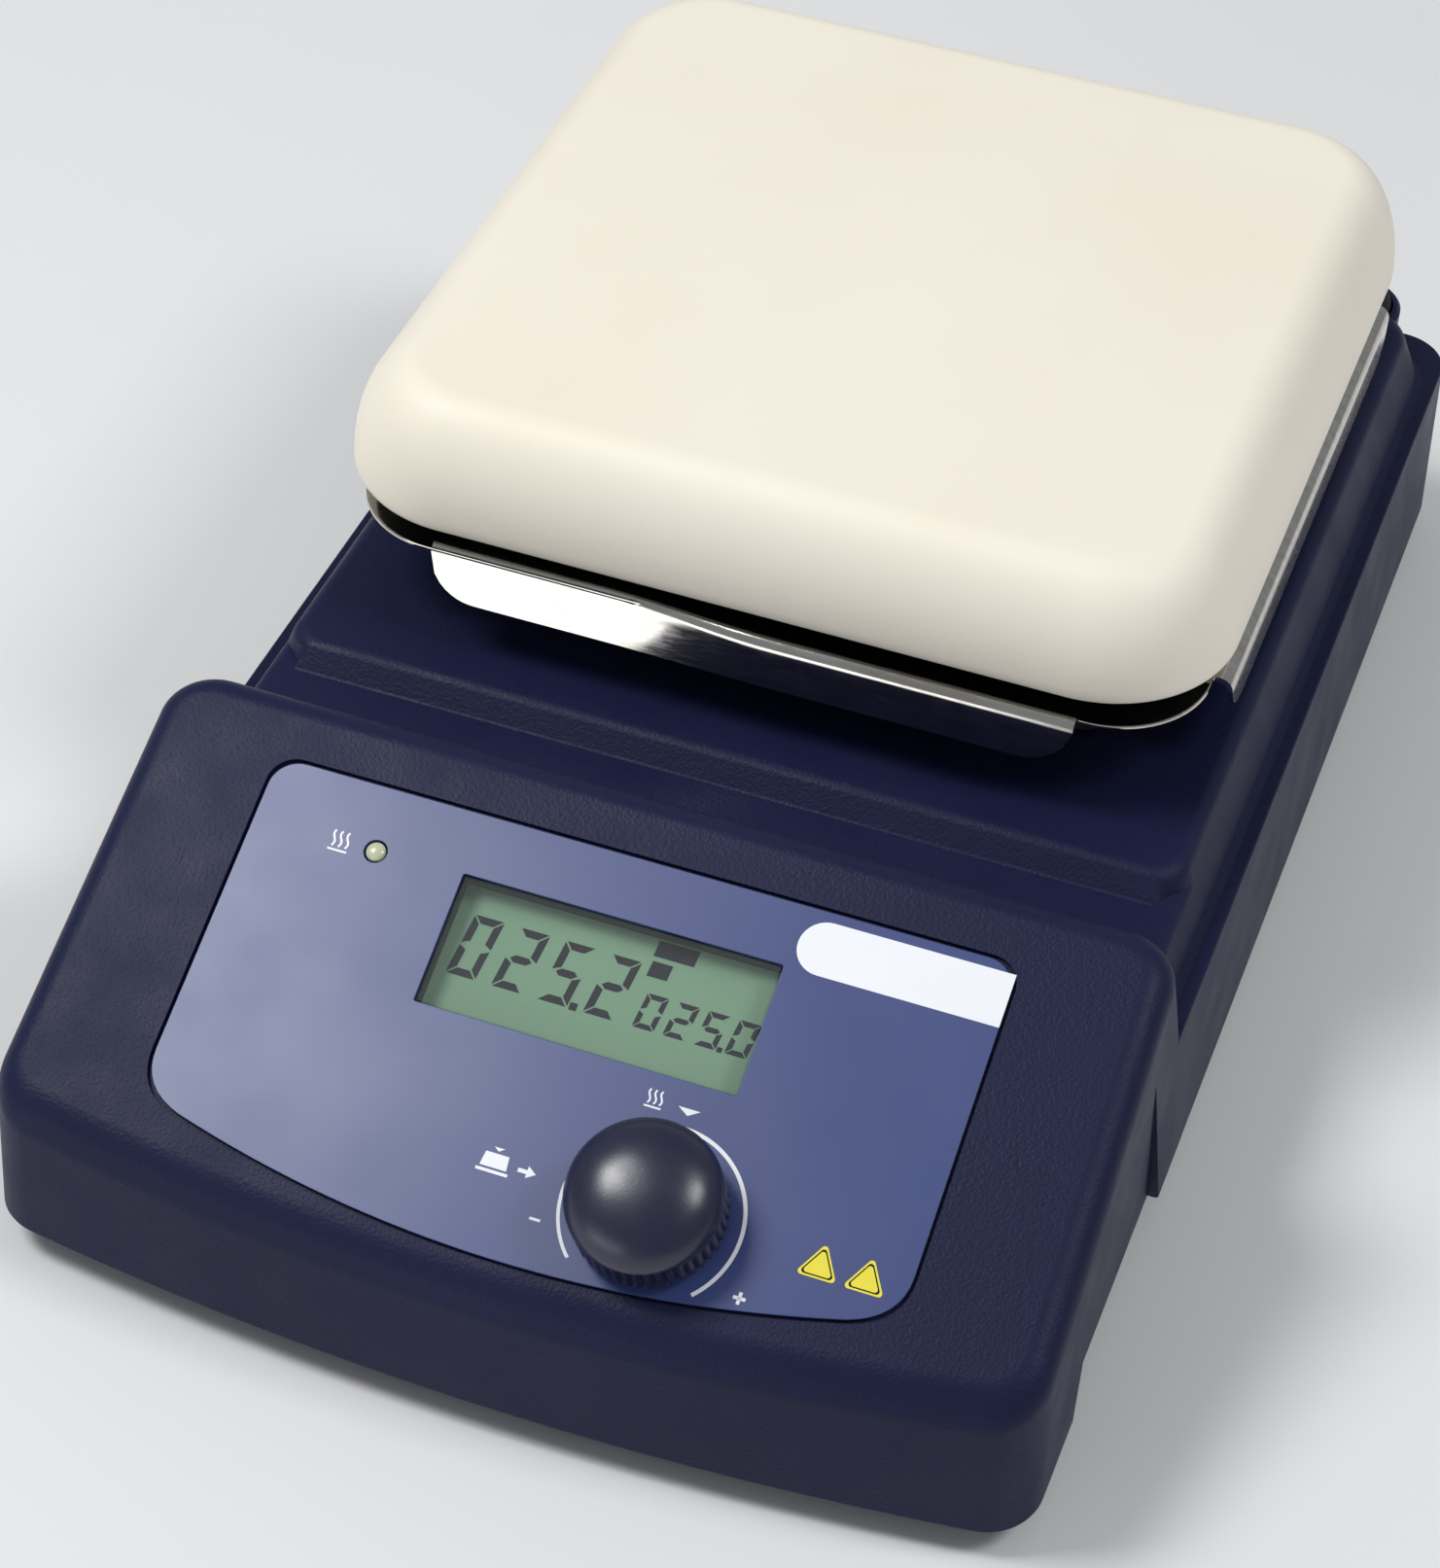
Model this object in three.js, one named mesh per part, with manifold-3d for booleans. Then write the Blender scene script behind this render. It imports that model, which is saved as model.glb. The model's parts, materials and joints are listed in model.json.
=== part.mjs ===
// Laboratory hotplate: a low moulded housing with a wedge-shaped control console at the front and a
// square ceramic-coated heating plate carried on four posts over the deck behind it.
// Millimetres, +Z up, +X to the operator's right, +Y to the rear. The origin is on the bench, under the
// middle of the overall box.
import * as THREE from 'three';
import Module from 'manifold-3d';
import { mergeVertices } from 'three/addons/utils/BufferGeometryUtils.js';

const wasm = await Module();
wasm.setup();
const { Manifold } = wasm;

// ---------------------------------------------------------------- driving dimensions
const GAP = 0.3;              // air left between neighbouring solids
const HALF_WIDTH = 80;        // housing, at its lower edge
const HALF_DEPTH = 130.8;     // from the middle of the bowed front to the rear wall
const FRONT_BOW = 5.2;        // how far the front's middle stands ahead of its corners
const CORNER_RADIUS = 8.8;    // vertical corners of the housing
const WALL = 3;               // housing wall
const DRAFT = 0.034;          // side walls lean in by this much for each mm of height
const BASE_Z = 5;             // lower edge of the housing, above the bench
const SHOULDER_Z = 37.2;      // top of the full-width lower body
const LEDGE_Z = 44.8;         // low strip of deck just behind the console
const DECK_Z = 48.2;          // deck under the heating plate
const DECK_HALF_WIDTH = 72;
const DECK_REAR = 120.6;
const RISER_TOP = -33.6;      // upper edge of the step from the ledge to the deck
const RISER_LEAN = 1.06;      // that step leans back by this much for each mm of height
const FLANK_LEAN = 0.36;      // deck flanks lean in by this much for each mm of height

const TILT = 0.4325;          // slope of the console face, radians
const FACE_Y = -85.57;        // reference point of the face, level with the display's middle
const FACE_Z = 48.1;
const CONSOLE_APEX_Y = -58.4; // where the face and the console's rear wall would meet
const CONSOLE_APEX_Z = 60.6;
const REAR_LEAN = 0.577;      // the console's rear wall leans back by this much per mm
const CONSOLE_EDGE = 4.5;     // rounding of the console's top edges

const OVERLAY_HALF = 57;      // printed film on the console face
const OVERLAY_TOP = 19.5;
const OVERLAY_CORNER = 4.5;
const OVERLAY_SHEET = 0.5;

const PLATE_HALF = 70.5;
const PLATE_Y = 44.1;         // middle of the heating plate
const PLATE_TOP = 89.2;
const PLATE_BOTTOM = 69.3;
const PLATE_CORNER = 20.8;
const PLATE_EDGE_IN = 10.7;   // the plate's soft edge: half an ellipse this wide
const PLATE_EDGE_DOWN = 18.4; // and this tall
const PLATE_ROOF = 81.2;      // underside of the plate's heated slab

const SHIELD_TOP = 64.5;
const SHIELD_HALF = 68;
const SHIELD_SHEET = 1;
const SHIELD_CORNER = 15.5;
const FLANGE_OUT = 69.4;      // outer face of a flange at its bend
const FLANGE_LEAN = 0.2;      // the flanges lean outwards, radians
const FLANGE_HEIGHT = 7.4;
const FLANGE_REACH = 51.6;    // half the length of a flange
const POST_OFFSET = 48;       // posts stand this far from the plate's middle, both ways
const POST_BORE = 2.8;        // clearance hole for a post's upper part
const LEAD_BORE = 6;          // hole for the heating element's leads, at the plate's middle

const DISPLAY = { x: 0.6, y: -0.25, halfWidth: 24.5, halfHeight: 10.2 };
const KNOB = { x: 19.5, y: -30.2, radius: 11.2, height: 13.6 };
const LAMP = { x: -37.6, y: 9.5, radius: 1.5 };
const LCD_DEPTH = 4.3;        // the display's glass, below the console face
const BOARD_DEPTH = 15.6;     // control board's underside, below the console face
const BOARD_SHEET = 1.6;      // thickness of both circuit boards
const BOARD_POSTS = [[-50, -28], [50, -28], [-50, 14], [50, 14]];

const FOOT_X = 62;
const FOOT_FRONT_Y = -99;
const FOOT_REAR_Y = 106;
const FOOT_RADIUS = 9;
const SCREW_HOLE = 2;         // radius of the holes for the foot and deck screws

const INLET = { x: -33, z: 21, halfWidth: 22, halfHeight: 12.5, face: 130, depth: 24 };
const ROCKER = { x: 6, z: 21, halfWidth: 7.5, halfHeight: 10.5, face: 130, depth: 18 };
const PROBE = { x: 30, z: 21, radius: 8, face: 130, depth: 16 };
const REAR_CUT = 118;         // the openings in the rear wall are cut from here outwards
const ROD = { x: 61, y: 120.5, boss: 8.8, bore: 4.3, socket: 5.5, foot: 14 };
const CAP = { radius: 7, plug: 4, plugLength: 12, height: 6.2 };

// ---------------------------------------------------------------- materials
const finish = (color, roughness, metalness = 0) =>
  new THREE.MeshStandardMaterial({ color, roughness, metalness });
const NAVY = finish(0x1c2142, 0.55);
const DARK_STEEL = finish(0x3b3d42, 0.45, 0.8);
const BLACK_RUBBER = finish(0x151515, 0.9);
const CERAMIC = finish(0xf2ece0, 0.25);
const STAINLESS = finish(0xc9cacb, 0.18, 1);
const ZINC = finish(0xa9adb2, 0.35, 1);
const MICA = finish(0xa89a72, 0.7);
const WOOL = finish(0xe6e1d5, 1);
const OVERLAY_BLUE = finish(0x4a5590, 0.45);
const CLEAR = finish(0xdfe8e4, 0.1);
CLEAR.transparent = true;
CLEAR.opacity = 0.35;
const LCD_GREEN = finish(0x86a58e, 0.3);
const BOARD_GREEN = finish(0x1f5a34, 0.6);
const LAMP_LENS = finish(0xd9dcc0, 0.3);
const BLACK_PLASTIC = finish(0x17181b, 0.5);
const BRASS = finish(0xb08d4b, 0.35, 1);
const GLASS = finish(0xdfe6e6, 0.1);
const COPPER_TAN = finish(0x9a5a2c, 0.5, 0.4);
const CABLE_GREY = finish(0x9a9c9e, 0.6);
const LEAD_WHITE = finish(0xd8d4c8, 0.7);

// ---------------------------------------------------------------- solids and booleans
function solid(geometry) {
  const bare = geometry.index ? geometry.toNonIndexed() : geometry.clone();
  for (const name of ['normal', 'uv', 'color']) bare.deleteAttribute(name);
  const merged = mergeVertices(bare, 1e-4);
  return new Manifold(new wasm.Mesh({
    numProp: 3,
    vertProperties: new Float32Array(merged.attributes.position.array),
    triVerts: new Uint32Array(merged.index.array),
  }));
}

function surface(body) {
  const { vertProperties, triVerts } = body.getMesh();
  const geometry = new THREE.BufferGeometry();
  geometry.setAttribute('position', new THREE.BufferAttribute(new Float32Array(vertProperties), 3));
  geometry.setIndex(new THREE.BufferAttribute(new Uint32Array(triVerts), 1));
  geometry.computeVertexNormals();
  return geometry;
}

const join = (...bodies) => bodies.reduce((sum, next) => sum.add(next));
const cut = (body, ...tools) => tools.reduce((rest, tool) => rest.subtract(tool), body);

const model = new THREE.Group();
const consoleFace = new THREE.Group();   // x across, y up the slope, z out of the face
consoleFace.position.set(0, FACE_Y, FACE_Z);
consoleFace.rotation.x = TILT;
consoleFace.updateMatrix();
model.add(consoleFace);

function add(name, body, material, parent = model) {
  const mesh = new THREE.Mesh(surface(body), material);
  mesh.name = name;
  parent.add(mesh);
  return mesh;
}

// ---------------------------------------------------------------- simple shapes
function block(x0, x1, y0, y1, z0, z1) {
  const geometry = new THREE.BoxGeometry(x1 - x0, y1 - y0, z1 - z0);
  return solid(geometry.translate((x0 + x1) / 2, (y0 + y1) / 2, (z0 + z1) / 2));
}

function rod(x, y, z0, z1, radius, sides = 20) {
  const geometry = new THREE.CylinderGeometry(radius, radius, z1 - z0, sides);
  return solid(geometry.rotateX(Math.PI / 2).translate(x, y, (z0 + z1) / 2));
}

function rodAlongY(x, z, y0, y1, radius, sides = 24) {
  const geometry = new THREE.CylinderGeometry(radius, radius, y1 - y0, sides);
  return solid(geometry.translate(x, (y0 + y1) / 2, z));
}

function rodAlongX(y, z, x0, x1, radius, sides = 16) {
  const geometry = new THREE.CylinderGeometry(radius, radius, x1 - x0, sides);
  return solid(geometry.rotateZ(Math.PI / 2).translate((x0 + x1) / 2, y, z));
}

function turned(profile, sides = 32) {
  const points = profile.map(([r, z]) => new THREE.Vector2(r, z));
  return solid(new THREE.LatheGeometry(points, sides).rotateX(Math.PI / 2));
}

// A rounded rectangle whose front edge (towards -Y) may bow outwards.
function planShape(halfWidth, front, rear, radius, bow = 0, frontRadius = radius) {
  const shape = new THREE.Shape();
  const right = halfWidth - frontRadius;
  shape.moveTo(-right, front);
  if (bow > 0) shape.quadraticCurveTo(0, front - 2 * bow, right, front);
  else shape.lineTo(right, front);
  shape.absarc(right, front + frontRadius, frontRadius, -Math.PI / 2, 0, false);
  shape.absarc(halfWidth - radius, rear - radius, radius, 0, Math.PI / 2, false);
  shape.absarc(-halfWidth + radius, rear - radius, radius, Math.PI / 2, Math.PI, false);
  shape.absarc(-right, front + frontRadius, frontRadius, Math.PI, Math.PI * 1.5, false);
  return shape;
}

function prism(shape, z0, z1, segments = 5) {
  const options = { depth: z1 - z0, bevelEnabled: false, curveSegments: segments };
  return solid(new THREE.ExtrudeGeometry(shape, options).translate(0, 0, z0));
}

// A prism whose upper edge is rounded by `edge`, with every vertex then moved by `warp`.
function softPrism(shape, z0, z1, edge, warp, segments = 5, edgeSegments = 3) {
  const geometry = new THREE.ExtrudeGeometry(shape, {
    depth: z1 - z0, bevelEnabled: true, bevelThickness: edge, bevelSize: edge, bevelOffset: -edge,
    bevelSegments: edgeSegments, curveSegments: segments,
  }).translate(0, 0, z0 - edge);
  const positions = geometry.attributes.position;
  const point = new THREE.Vector3();
  for (let i = 0; i < positions.count; i += 1) {
    point.fromBufferAttribute(positions, i);
    warp(point, z1);
    positions.setXYZ(i, point.x, point.y, point.z);
  }
  return solid(geometry);
}

// ---------------------------------------------------------------- housing
const facePlaneZ = (y) => FACE_Z + (y - FACE_Y) * Math.tan(TILT);

function draftWalls(point) {
  const lean = DRAFT * (point.z - BASE_Z);
  point.x -= Math.sign(point.x) * Math.min(lean, Math.abs(point.x));
  if (Math.abs(point.y) > 100) point.y -= Math.sign(point.y) * lean;
}

function lowerBody(inset) {
  const shape = planShape(HALF_WIDTH - inset, -HALF_DEPTH + FRONT_BOW + inset, HALF_DEPTH - inset,
    CORNER_RADIUS - inset, FRONT_BOW);
  const whole = softPrism(shape, 0, SHOULDER_Z - inset, 0.4, draftWalls, 6, 1);
  return whole.intersect(block(-90, 90, CONSOLE_APEX_Y - 14, 140, -10, 60));
}

function consoleBody(inset) {
  const shape = planShape(HALF_WIDTH - inset, -HALF_DEPTH + FRONT_BOW + inset, CONSOLE_APEX_Y - inset,
    CORNER_RADIUS - inset, FRONT_BOW);
  const edge = CONSOLE_EDGE - inset / 2;
  const drop = inset / Math.cos(TILT);
  const warp = (point, top) => {
    const under = top - point.z;
    const settle = () => {
      if (under < top / 2) point.z = facePlaneZ(point.y) - drop - under;
    };
    settle();
    const rear = point.y > CONSOLE_APEX_Y - 2 * CORNER_RADIUS;
    draftWalls(point);
    settle();
    const unleaned = point.y;
    for (let pass = 0; rear && pass < 6; pass += 1) {
      point.y = unleaned + REAR_LEAN * (CONSOLE_APEX_Z - Math.max(point.z, BASE_Z + 15));
      settle();
    }
  };
  return softPrism(shape, 0, 100, edge, warp, 6, 4);
}

function deckBlock(inset) {
  const top = DECK_Z - inset;
  const half = DECK_HALF_WIDTH - inset;
  const shape = planShape(half, RISER_TOP + inset, DECK_REAR - inset, 9 - inset, 0, 4 - inset);
  const warp = (point) => {
    const below = top - point.z;
    point.x += Math.sign(point.x) * FLANK_LEAN * below;
    point.y += point.y > 0 ? FLANK_LEAN * below : -RISER_LEAN * below;
  };
  const edge = inset > 0 ? 0.5 : 2;
  return softPrism(shape, 30, top, edge, warp, 4, 2);
}

function ledgeBlock(inset) {
  const shape = planShape(DECK_HALF_WIDTH - 0.25 - inset, CONSOLE_APEX_Y - 6, RISER_TOP + 30, 2);
  const warp = (point) => {
    point.x += Math.sign(point.x) * FLANK_LEAN * (DECK_Z - inset - point.z);
  };
  return softPrism(shape, 30, LEDGE_Z - inset, 0.5, warp, 1, 1);
}

function housingForm(inset) {
  return join(
    lowerBody(inset),
    consoleBody(inset),
    ledgeBlock(inset),
    deckBlock(inset),
  ).intersect(block(-90, 90, -140, 140, inset ? -10 : BASE_Z, 100));
}

// The overlay's outline on the console face: straight sides, a lower edge that follows the bowed front.
function overlayShape(grow) {
  const half = OVERLAY_HALF + grow;
  const top = OVERLAY_TOP + grow;
  const shape = new THREE.Shape();
  shape.moveTo(-half, -28);
  shape.quadraticCurveTo(-half, -34.2 - grow, -half + 7, -36.4 - grow);
  shape.quadraticCurveTo(0, -49.6 - grow, half - 7, -36.4 - grow);
  shape.quadraticCurveTo(half, -34.2 - grow, half, -28);
  const corner = OVERLAY_CORNER;
  shape.lineTo(half, top - corner);
  shape.absarc(half - corner, top - corner, corner, 0, Math.PI / 2, false);
  shape.absarc(-half + corner, top - corner, corner, Math.PI / 2, Math.PI, false);
  return shape;
}

const displayBlock = (grow, z0, z1) => block(
  DISPLAY.x - DISPLAY.halfWidth - grow, DISPLAY.x + DISPLAY.halfWidth + grow,
  DISPLAY.y - DISPLAY.halfHeight - grow, DISPLAY.y + DISPLAY.halfHeight + grow, z0, z1);

// A block in the rear wall, as wide and high as one of the pieces there and `grow` more all round.
const rearBlock = ({ x, z, halfWidth, halfHeight }, grow, y0, y1) => block(
  x - halfWidth - grow, x + halfWidth + grow, y0, y1, z - halfHeight - grow, z + halfHeight + grow);

const onFace = (body) => body.transform(consoleFace.matrix.toArray());

const points2d = (pairs) => pairs.map(([a, b]) => new THREE.Vector2(a, b));

// Turns an extrusion so that its outline's x runs to the rear, its y up and its depth to the right.
const sideways = new THREE.Matrix4().makeBasis(
  new THREE.Vector3(0, 1, 0), new THREE.Vector3(0, 0, 1), new THREE.Vector3(1, 0, 0));

// The finger recess in the lower part of a side wall: deepest at its foot, with slanted ends.
function gripCutter(side) {
  const section = new THREE.Shape(points2d([[77.9, 0], [84, 0], [84, 42], [78.9, 41]]));
  const outline = new THREE.Shape(points2d([[-104, 0], [-54.5, 0], [-68.5, 42], [-92, 42]]));
  const along = new THREE.ExtrudeGeometry(section, { depth: 60, bevelEnabled: false })
    .rotateX(Math.PI / 2).translate(0, -50, 0);
  const across = new THREE.ExtrudeGeometry(outline, { depth: 100, bevelEnabled: false })
    .applyMatrix4(sideways);
  const right = solid(along).intersect(solid(across));
  return side > 0 ? right : right.mirror([1, 0, 0]);
}

function corners(x, front, rear) {
  return [
    ['front_left', -x, front], ['front_right', x, front],
    ['rear_left', -x, rear], ['rear_right', x, rear],
  ];
}
const FEET = corners(FOOT_X, FOOT_FRONT_Y, FOOT_REAR_Y);
const POSTS = corners(POST_OFFSET, PLATE_Y - POST_OFFSET, PLATE_Y + POST_OFFSET);

function housing() {
  const outside = housingForm(0);
  const inside = housingForm(WALL);
  let shell = outside.subtract(inside);
  const bosses = FEET.map(([, x, y]) => rod(x, y, BASE_Z + 3, 46, 5));
  const boardPosts = BOARD_POSTS
    .map(([x, y]) => onFace(rod(x, y, -BOARD_DEPTH + BOARD_SHEET + 2 * GAP, -1, 2.5, 12)));
  const rodBoss = rod(ROD.x, ROD.y, ROD.foot - 2, DECK_Z - 0.6, ROD.boss, 32);
  shell = join(shell, rodBoss, ...[...bosses, ...boardPosts].map((piece) => piece.intersect(outside)));
  return cut(shell,
    ...FEET.map(([, x, y]) => rod(x, y, 0, 22, SCREW_HOLE, 14)),
    ...POSTS.map(([, x, y]) => rod(x, y, 40, 60, SCREW_HOLE, 14)),
    rod(0, PLATE_Y, 40, 60, LEAD_BORE + 1, 24),
    rod(ROD.x, ROD.y, DECK_Z - WALL, 70, CAP.radius + 2 * GAP, 28),
    rod(ROD.x, ROD.y, ROD.foot, 70, ROD.socket + GAP, 24),
    onFace(prism(overlayShape(0.7), -0.8, 6, 8)),
    onFace(displayBlock(GAP, -8, 2)),
    onFace(rod(KNOB.x, KNOB.y, -8, 2, 4.2, 24)),
    onFace(rod(LAMP.x, LAMP.y, -8, 2, LAMP.radius + 0.4, 16)),
    rearBlock(INLET, GAP, REAR_CUT, 140),
    rearBlock(ROCKER, GAP, REAR_CUT, 140),
    rodAlongY(PROBE.x, PROBE.z, REAR_CUT, 140, PROBE.radius + GAP),
    gripCutter(1), gripCutter(-1),
  );
}
add('housing_top', housing(), NAVY);

// ---------------------------------------------------------------- base, feet and their screws
const BOARD_BOTTOM = 12;      // power board, above the bench
const BOARD_TOP = BOARD_BOTTOM + BOARD_SHEET;
const BOARD_STUDS = [[-60, 20], [20, 20], [-60, 94], [20, 94]];
const SCREW_HEAD = 3.6;
function basePlate() {
  const inset = WALL + GAP;
  const shape = planShape(HALF_WIDTH - inset, -HALF_DEPTH + FRONT_BOW + inset, HALF_DEPTH - inset,
    CORNER_RADIUS - inset, FRONT_BOW);
  const sheet = prism(shape, BASE_Z + GAP, BASE_Z + GAP + 2);
  const studs = BOARD_STUDS.map(([x, y]) => rod(x, y, BASE_Z + 1, BOARD_BOTTOM - GAP, 3, 12));
  const slots = [];
  for (let row = 0; row < 8; row += 1) {
    slots.push(block(-30, 30, -60 + row * 8, -57 + row * 8, 0, 10));
  }
  return cut(join(sheet, ...studs), ...slots, ...FEET.map(([, x, y]) => rod(x, y, 0, 10, 2.2, 14)),
    ...FEET.map(([, x, y]) => rod(x, y, BASE_Z + GAP + 1, 10, 5.4, 18)));
}
add('base_plate', basePlate(), DARK_STEEL);

for (const [place, x, y] of FEET) {
  const radius = FOOT_RADIUS;
  const profile = [[0, 0], [radius - 0.8, 0], [radius, 0.8], [radius - 1, BASE_Z], [0, BASE_Z]];
  const foot = turned(profile, 28).translate([x, y, 0]);
  add(`foot_${place}`, cut(foot, rod(x, y, -1, 3.7, 4.2), rod(x, y, 0, 8, 2.1, 14)), BLACK_RUBBER);
  const screw = join(rod(x, y, 1.2, 3.4, SCREW_HEAD), rod(x, y, 3, 16, 1.7, 12));
  add(`foot_screw_${place}`, cut(screw, block(x - 3, x + 3, y - 0.5, y + 0.5, 0, 2)), ZINC);
}

// ---------------------------------------------------------------- heating plate and what is under it
function hotPlate() {
  const shape = planShape(PLATE_HALF, PLATE_Y - PLATE_HALF, PLATE_Y + PLATE_HALF, PLATE_CORNER);
  const warp = (point, top) => {
    const under = top - point.z;
    if (under < PLATE_EDGE_IN + 0.01) point.z = top - under * (PLATE_EDGE_DOWN / PLATE_EDGE_IN);
  };
  const raised = softPrism(shape, PLATE_BOTTOM - 20, PLATE_TOP, PLATE_EDGE_IN, warp, 8, 6);
  const outside = raised.intersect(block(-90, 90, -60, 140, PLATE_BOTTOM, 100));
  const hollow = prism(planShape(61, PLATE_Y - 61, PLATE_Y + 61, 14), PLATE_BOTTOM - 1, PLATE_ROOF);
  return outside.subtract(hollow);
}
add('hot_plate', hotPlate(), CERAMIC);

const leadHole = (radius) => rod(0, PLATE_Y, 50, 100, radius, 20);
const postHoles = () => POSTS.map(([, x, y]) => rod(x, y, 40, 100, POST_BORE, 14));

add('heating_element', rod(0, PLATE_Y, 77.9, PLATE_ROOF - GAP, 44, 48), MICA);
add('element_clamp_plate', cut(
  prism(planShape(57, PLATE_Y - 54, PLATE_Y + 50, 8), 75.6, 77.6),
  leadHole(LEAD_BORE), ...postHoles()), DARK_STEEL);
add('insulation_pad', cut(
  prism(planShape(60, PLATE_Y - 60, PLATE_Y + 60, 13), 69.6, 75.3),
  leadHole(LEAD_BORE), ...postHoles()), WOOL);

const PAN_HALF = 67.5;        // dark pan that closes the plate's underside, rim included
const panSheet = prism(planShape(PAN_HALF, PLATE_Y - PAN_HALF, PLATE_Y + PAN_HALF, 18.5), 67.8, 69);
add('insulation_pan', cut(panSheet, leadHole(LEAD_BORE), ...postHoles()), DARK_STEEL);

// Polished sheet under the plate: a square with rounded corners, and a flange bent down on each side.
function heatShield() {
  const shape = planShape(SHIELD_HALF, PLATE_Y - SHIELD_HALF, PLATE_Y + SHIELD_HALF, SHIELD_CORNER);
  const sheet = prism(shape, SHIELD_TOP - SHIELD_SHEET, SHIELD_TOP, 8);
  const [end, flat] = [FLANGE_REACH, FLANGE_REACH - 8.1];
  const leaf = new THREE.Shape();
  leaf.moveTo(-end, 0);
  leaf.quadraticCurveTo(0.4 - end, 1 - FLANGE_HEIGHT, -flat, -FLANGE_HEIGHT);
  leaf.lineTo(flat, -FLANGE_HEIGHT);
  leaf.quadraticCurveTo(end - 0.4, 1 - FLANGE_HEIGHT, end, 0);
  const options = { depth: SHIELD_SHEET, bevelEnabled: false, curveSegments: 6 };
  const flange = new THREE.ExtrudeGeometry(leaf, options);
  flange.rotateX(Math.PI / 2 - FLANGE_LEAN).translate(0, SHIELD_SHEET - FLANGE_OUT, SHIELD_TOP - 0.25);
  const lip = new THREE.BoxGeometry(2 * FLANGE_REACH, 6, SHIELD_SHEET - 0.2)
    .translate(0, 3.2 - FLANGE_OUT, SHIELD_TOP - SHIELD_SHEET / 2);
  const sides = [0, 1, 2, 3].flatMap((turn) => [flange, lip].map((part) => solid(
    part.clone().rotateZ(turn * Math.PI / 2).translate(0, PLATE_Y, 0))));
  return cut(join(sheet, ...sides), leadHole(LEAD_BORE), ...postHoles());
}
add('heat_shield', heatShield(), STAINLESS);

for (const [place, x, y] of POSTS) {
  const lower = rod(x, y, DECK_Z + GAP, SHIELD_TOP - SHIELD_SHEET - GAP, 4.5, 20);
  const upper = rod(x, y, DECK_Z + GAP, PLATE_ROOF - GAP, 2.5, 14);
  add(`support_post_${place}`, cut(join(lower, upper), rod(x, y, 40, 58, 1.95, 14)), ZINC);
  const hexagon = rod(x, y, SHIELD_TOP + GAP, SHIELD_TOP + GAP + 2.6, 4.6, 6);
  const nut = cut(hexagon, rod(x, y, 50, 90, POST_BORE, 14));
  add(`post_nut_${place}`, nut, ZINC);
  const screw = join(rod(x, y, 42.2, 44.8, 3.4, 18), rod(x, y, 44, 57, 1.65, 12));
  add(`deck_screw_${place}`, screw, ZINC);
}

const sensorBody = solid(new THREE.CylinderGeometry(1.7, 1.7, 26, 16).rotateZ(Math.PI / 2)
  .translate(0, PLATE_Y + 54, PLATE_ROOF - GAP - 1.8));
add('plate_sensor', sensorBody, STAINLESS);

// ---------------------------------------------------------------- console face
function controlOverlay() {
  return cut(prism(overlayShape(0), -OVERLAY_SHEET, 0, 8), displayBlock(0, -2, 2),
    rod(KNOB.x, KNOB.y, -2, 2, 6.4, 24), rod(LAMP.x, LAMP.y, -2, 2, LAMP.radius + 0.3, 16));
}
add('control_overlay', controlOverlay(), OVERLAY_BLUE, consoleFace);
add('display_window', displayBlock(-GAP, -0.75, -0.1), CLEAR, consoleFace);

// The display's glass lies at the bottom of a shallow light-shielding frame.
const lcdModule = cut(displayBlock(3.5, -8.8, -WALL - GAP), displayBlock(GAP, -LCD_DEPTH, 0));
add('lcd_module', lcdModule, LCD_GREEN, consoleFace);

function controlBoard() {
  const board = block(-54, 54, -33, 18, -BOARD_DEPTH, -BOARD_DEPTH + BOARD_SHEET);
  return cut(board, block(-54.1, -44, 8, 18.1, -20, -14), block(44, 54.1, 8, 18.1, -20, -14));
}
add('control_board', controlBoard(), BOARD_GREEN, consoleFace);

const lampBody = turned([[0, -BOARD_DEPTH + 1.9], [LAMP.radius, -BOARD_DEPTH + 1.9], [LAMP.radius, -0.4],
  [LAMP.radius * 0.75, 0.25], [0, 0.5]], 20).translate([LAMP.x, LAMP.y, 0]);
add('heat_lamp', lampBody, LAMP_LENS, consoleFace);

// ---------------------------------------------------------------- knob, shaft and push switch
const BUSH_TOP = 2.2;         // threaded bush through the console's wall
const KNOB_RIBS = 44;
function encoderBody() {
  const can = block(KNOB.x - 6.5, KNOB.x + 6.5, KNOB.y - 6.5, KNOB.y + 6.5, -BOARD_DEPTH + 1.9, -6.4);
  const bush = rod(KNOB.x, KNOB.y, -7, BUSH_TOP, 3.7, 24);
  return cut(join(can, bush), rod(KNOB.x, KNOB.y, -10.4, 5, 3.2, 24));
}
add('encoder_body', encoderBody(), ZINC, consoleFace);
const encoderNut = cut(rod(KNOB.x, KNOB.y, -0.5, 1.4, 5.9, 6), rod(KNOB.x, KNOB.y, -2, 3, 4, 24));
add('encoder_nut', encoderNut, ZINC, consoleFace);
add('switch_plunger', rod(KNOB.x, KNOB.y, -9, -7.6, 2.6, 18), BLACK_PLASTIC, consoleFace);
add('encoder_shaft', cut(rod(KNOB.x, KNOB.y, -7.3, 9, 2.9, 24),
  block(KNOB.x + 1.6, KNOB.x + 4, KNOB.y - 4, KNOB.y + 4, 3, 10)), ZINC, consoleFace);

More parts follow.
